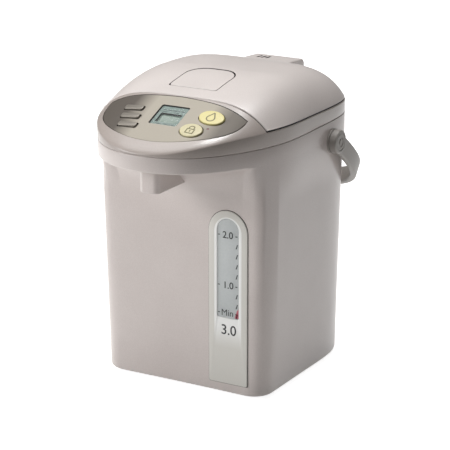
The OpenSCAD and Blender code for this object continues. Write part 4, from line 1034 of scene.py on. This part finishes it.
def makeLid():
    corner = degrees(atan2(-lid["front"], seamEnd - 0.6))
    angles = directions(corner - 0.35, corner, corner + 0.35, ringAngle(lid["front"]))
    rays = [lidRay(a) for a in angles]
    n, m = len(rays), len(rays[0])
    mid, top = lid["middle"], crown(*lid["middle"])
    points = [p for ray in rays for p in ray] + [(*mid, top), (*mid, top - plan["wall"])]
    faces = [(i * m + j, i * m + j + 1, (i + 1) % n * m + j + 1, (i + 1) % n * m + j)
             for i in range(n) for j in range(m - 1)]
    faces += [(n * m, i * m, (i + 1) % n * m) for i in range(n)]
    faces += [(n * m + 1, (i + 1) % n * m + m - 1, i * m + m - 1) for i in range(n)]
    # the lid's pieces take the lighter copy of the body's paint: painted light
    cover = makeMesh("lidCover", points, faces, "litPearlAbs")
    pocket = crownPlate("leverCut", leverColumns(lever["gap"], lever["frontGap"], lever["rearGap"]), 4,
                        plan["wall"] + 3, "shadowGroove", 30)
    v = vent
    outline = [(x, y + v["seatY"]) for x, y in slabOutline(v["width"] + v["seatGap"], v["seatDepth"], 0.3)]
    seat = pillow("ventCut", [(outline, z) for z in v["seatSpan"]], "litPearlAbs")
    cutAway(cover, pocket, seat)
    dress(smooth(cover, 38, crown, 0.97), "lid", "lid_cover", body="lid")


seamShade = {"drop": 0.8, "inset": 1.1, "below": 1.4, "above": 0.3, "frontSteps": 96, "ringSteps": 160}


def makeSeamShade():
    # a dark lip on the frame: painted shade in the seam round the lid
    s, front = seamShade, lid["front"]
    half = seamEnd - s["drop"]
    points = []
    for k in range(s["frontSteps"] + 1):
        x = half * (2 * k / s["frontSteps"] - 1)
        z = crown(x, -seamY) - s["drop"]
        points += [(x, -seamY - 0.1, z), (x, -front + 0.1, z)]
    start = degrees(asin(-front / ringReach(-atan2(front, seamEnd))))
    faces = ribbonFaces(0, s["frontSteps"] + 1) + ribbonFaces(len(points), s["ringSteps"] + 1)
    for a in turns(start, 180 - start, s["ringSteps"]):
        x, y = ringAt(a, s["inset"])
        z = rimAt(x, y)
        points += [(x, y, z - s["below"]), (x, y, z + lid["lift"] + s["above"])]
    dress(smooth(makeMesh("lidSeamShade", points, faces, "blackRubber"), 35), "dark_moulding")


def makeLever():
    v = lever
    (y0, z0), (y1, z1), r = v["axis"], v["heel"], v["heelRadius"]
    finish = "litPearlAbs"
    parts = [smooth(crownPlate("leverPlate", leverColumns(), 0, v["thick"], finish, 40, v["round"]), 40, crown)]
    for x in (-v["lug"] - v["lugThick"], v["lug"]):
        rows = [[(d, y0 + y, z0 + z) for y, z in v["cheek"]] for d in (x, x + v["lugThick"])]
        parts.append(smooth(skin("cheek", rows, finish, False)))
    bar = [[(x, y0 + y1 + y, z0 + z1 + z) for y, z in ovalOutline(r, r, 24)] for x in (-v["lug"] - 3, v["lug"] + 3)]
    parts.append(smooth(skin("heelBar", bar, finish, False)))
    dress(joined("lidLever", *parts), "lid", "lid_lever", body="lever")


def ventProfile(t):
    # outside or inside line of the housing, from its front to its foot at the rear
    v = vent
    r, y, z = v["round"] - t, v["back"] - v["round"], v["top"] - v["round"]
    return [(v["front"], v["crest"] - t), (y, z + r)] \
        + [(y + r * cos(a), z + r * sin(a)) for a in turns(80, 0, 10)]


def makeVent():
    v = vent
    side, edge, front, back = v["width"] / 2, v["sideRound"], v["front"], v["back"]
    rows = []
    for a in turns(-90, 90, 16):
        # across the width, rounded at both sides
        x = copysign(side - edge + edge * abs(sin(a)), a) if a else 0
        t = edge * (1 - cos(a))
        foot = [(back - t, v["low"]), (v["hinge"], v["low"]), (v["hinge"], v["foot"]), (front, v["foot"])]
        rows.append([(x, y, z) for y, z in ventProfile(t * 0.999) + foot])
    block = skin("steamVent", rows, "litPearlAbs", False)
    inside = ventProfile(v["wall"])
    inside = [(front - 5, inside[0][1])] + inside[1:] \
        + [(y, v["hollowFloor"]) for y in (back - v["wall"], front - 5)]
    half = side - v["wall"] - v["hollowGap"]
    cuts = [skin("ventHollow", [[(x, y, z) for y, z in inside] for x in (-half, half)],
                 "shadowGroove", False)]
    for x in v["slots"]:
        outline = [(x + p, v["slotY"] + q) for p, q in slabOutline(*v["slotSize"])]
        cuts.append(pillow("ventSlot", [(outline, z) for z in v["slotSpan"]], "shadowGroove"))
    cutAway(block, *cuts)
    dress(smooth(block, 35), "lid", "vent_cover", body="lid")


makeLid()
makeSeamShade()
makeLever()
makeVent()
print("handle and lid made")

# Finishes of the solids that show as they are; the rest are plain polypropylene
carried = {
    "drawnStainless": ("pot_liner", "lid_inner_plate", "band_heater", "hinge_pin", "lever_pin",
                       "latch_spring", "base_screws", "inlet_strainer", "power_pins"),
    "castAluminium": ("heater_plate", "pump_motor"),
    "turnedBrass": ("thermostat",),
    "whiteSilicone": ("liner_seal", "lid_gasket", "riser_tube", "outlet_tube"),
    "blackRubber": ("feet",),
    "greenCircuitBoard": ("control_board", "power_board"),
    "darkAcetal": ("tact_switches", "drive_magnet", "impeller", "power_socket"),
    "grainedHandleAbs": ("handle_bushings", "handle_pins"),
    "redLampLens": ("lock_lamp",),
    "gaugeBackAbs": ("gauge_scale",),
    "drawnGlass": ("gauge_tube",),
    "basePolypropylene": ("base_plate", "hinge_bracket", "spout_nozzle"),
}


def dressSolids():
    kinds = {node: kind for kind, names in carried.items() for node in names}
    for name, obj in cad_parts.items():
        material = materials[kinds.get(name, "plainPolypropylene")]
        for slot in obj.material_slots:
            slot.material = material
        if not obj.material_slots:
            obj.data.materials.append(material)


dressSolids()

# Studio: pale floor, soft light from the left and in front. Lamps have a place, a side in metres and a power.
studio = {"floor": ("#F1F1F0", "#CDCCCB"), "grain": 4, "rings": (0.001, 0.5, 1.5, 8), "glow": 0.9, "world": 0.05,
          "zone": (-0.55, -0.32), "aim": (0, 0, 0.15),
          "lamps": (("keyLamp", (-2.0, -1.9, 1.2), 1.3, 57), ("topLamp", (-0.7, 0.2, 2.2), 1.3, 21),
                    ("crownLamp", (0.1, 0.3, 2.4), 0.6, 30))}


def seenPlain(tree):
    # one for rays from the camera, and for those that come off a gloss or through glass
    rays = addNode(tree, "LightPath").outputs
    first = addNode(tree, "Math", {"operation": "MAXIMUM"}, {0: rays["Is Camera Ray"], 1: rays["Is Glossy Ray"]})
    return addNode(tree, "Math", {"operation": "MAXIMUM"}, {0: first, 1: rays["Is Transmission Ray"]})


def makeFloor():
    # matt paper that glows to the eye in front of and beside the pot
    s = studio
    rows = [[(x, y, -0.05) for x, y in ovalOutline(1000 * r, 1000 * r, 48)] for r in s["rings"]]
    floor = makeMesh("studioFloor", [p for row in rows for p in row], skinFaces(len(rows), 48, False))
    material = bpy.data.materials.new("whitePaper")
    tree = blankTree(material)
    place = addNode(tree, "TexCoord").outputs["Object"]
    grain = addNode(tree, "TexNoise", {"Scale": perMetre(s["grain"]), "Detail": 3}, {"Vector": place})
    light, dark = map(linear, s["floor"])
    tone = addNode(tree, "Mix", {"data_type": "RGBA", 6: light, 7: dark}, {"Factor": grain})
    paper = addNode(tree, "BsdfDiffuse", links={"Color": tone.outputs[2]})
    a = radians(camera["azimuth"])
    ahead = addNode(tree, "VectorMath", {"operation": "DOT_PRODUCT", 1: (-sin(a), cos(a), 0)}, {0: place})
    zone = addNode(tree, "MapRange", {"From Min": s["zone"][0], "From Max": s["zone"][1], "To Max": s["glow"]},
                   {"Value": ahead.outputs["Value"]})
    strength = addNode(tree, "Math", {"operation": "MULTIPLY"}, {0: seenPlain(tree), 1: zone})
    glow = addNode(tree, "Emission", {"Color": (1, 1, 1, 1)}, {"Strength": strength})
    both = addNode(tree, "AddShader", links={0: paper, 1: glow})
    addNode(tree, "OutputMaterial", links={"Surface": both})
    floor.data.materials.append(material)


def makeLight():
    world = bpy.data.worlds.new("studioWorld")
    tree = blankTree(world)
    sky = addNode(tree, "Background", {"Color": (1, 1, 1, 1), "Strength": studio["world"]})
    addNode(tree, "OutputWorld", links={"Surface": sky})
    bpy.context.scene.world = world
    for name, at, size, power in studio["lamps"]:
        lamp = bpy.data.lights.new(name, "AREA")
        lamp.shape, lamp.size, lamp.energy = "SQUARE", size, power
        obj = addObject(name, lamp)
        obj.location = at
        obj.rotation_euler = (Vector(at) - Vector(studio["aim"])).to_track_quat("Z", "Y").to_euler()
    bpy.context.scene.view_settings.view_transform = "Standard"


makeFloor()
makeLight()
print("studio made")
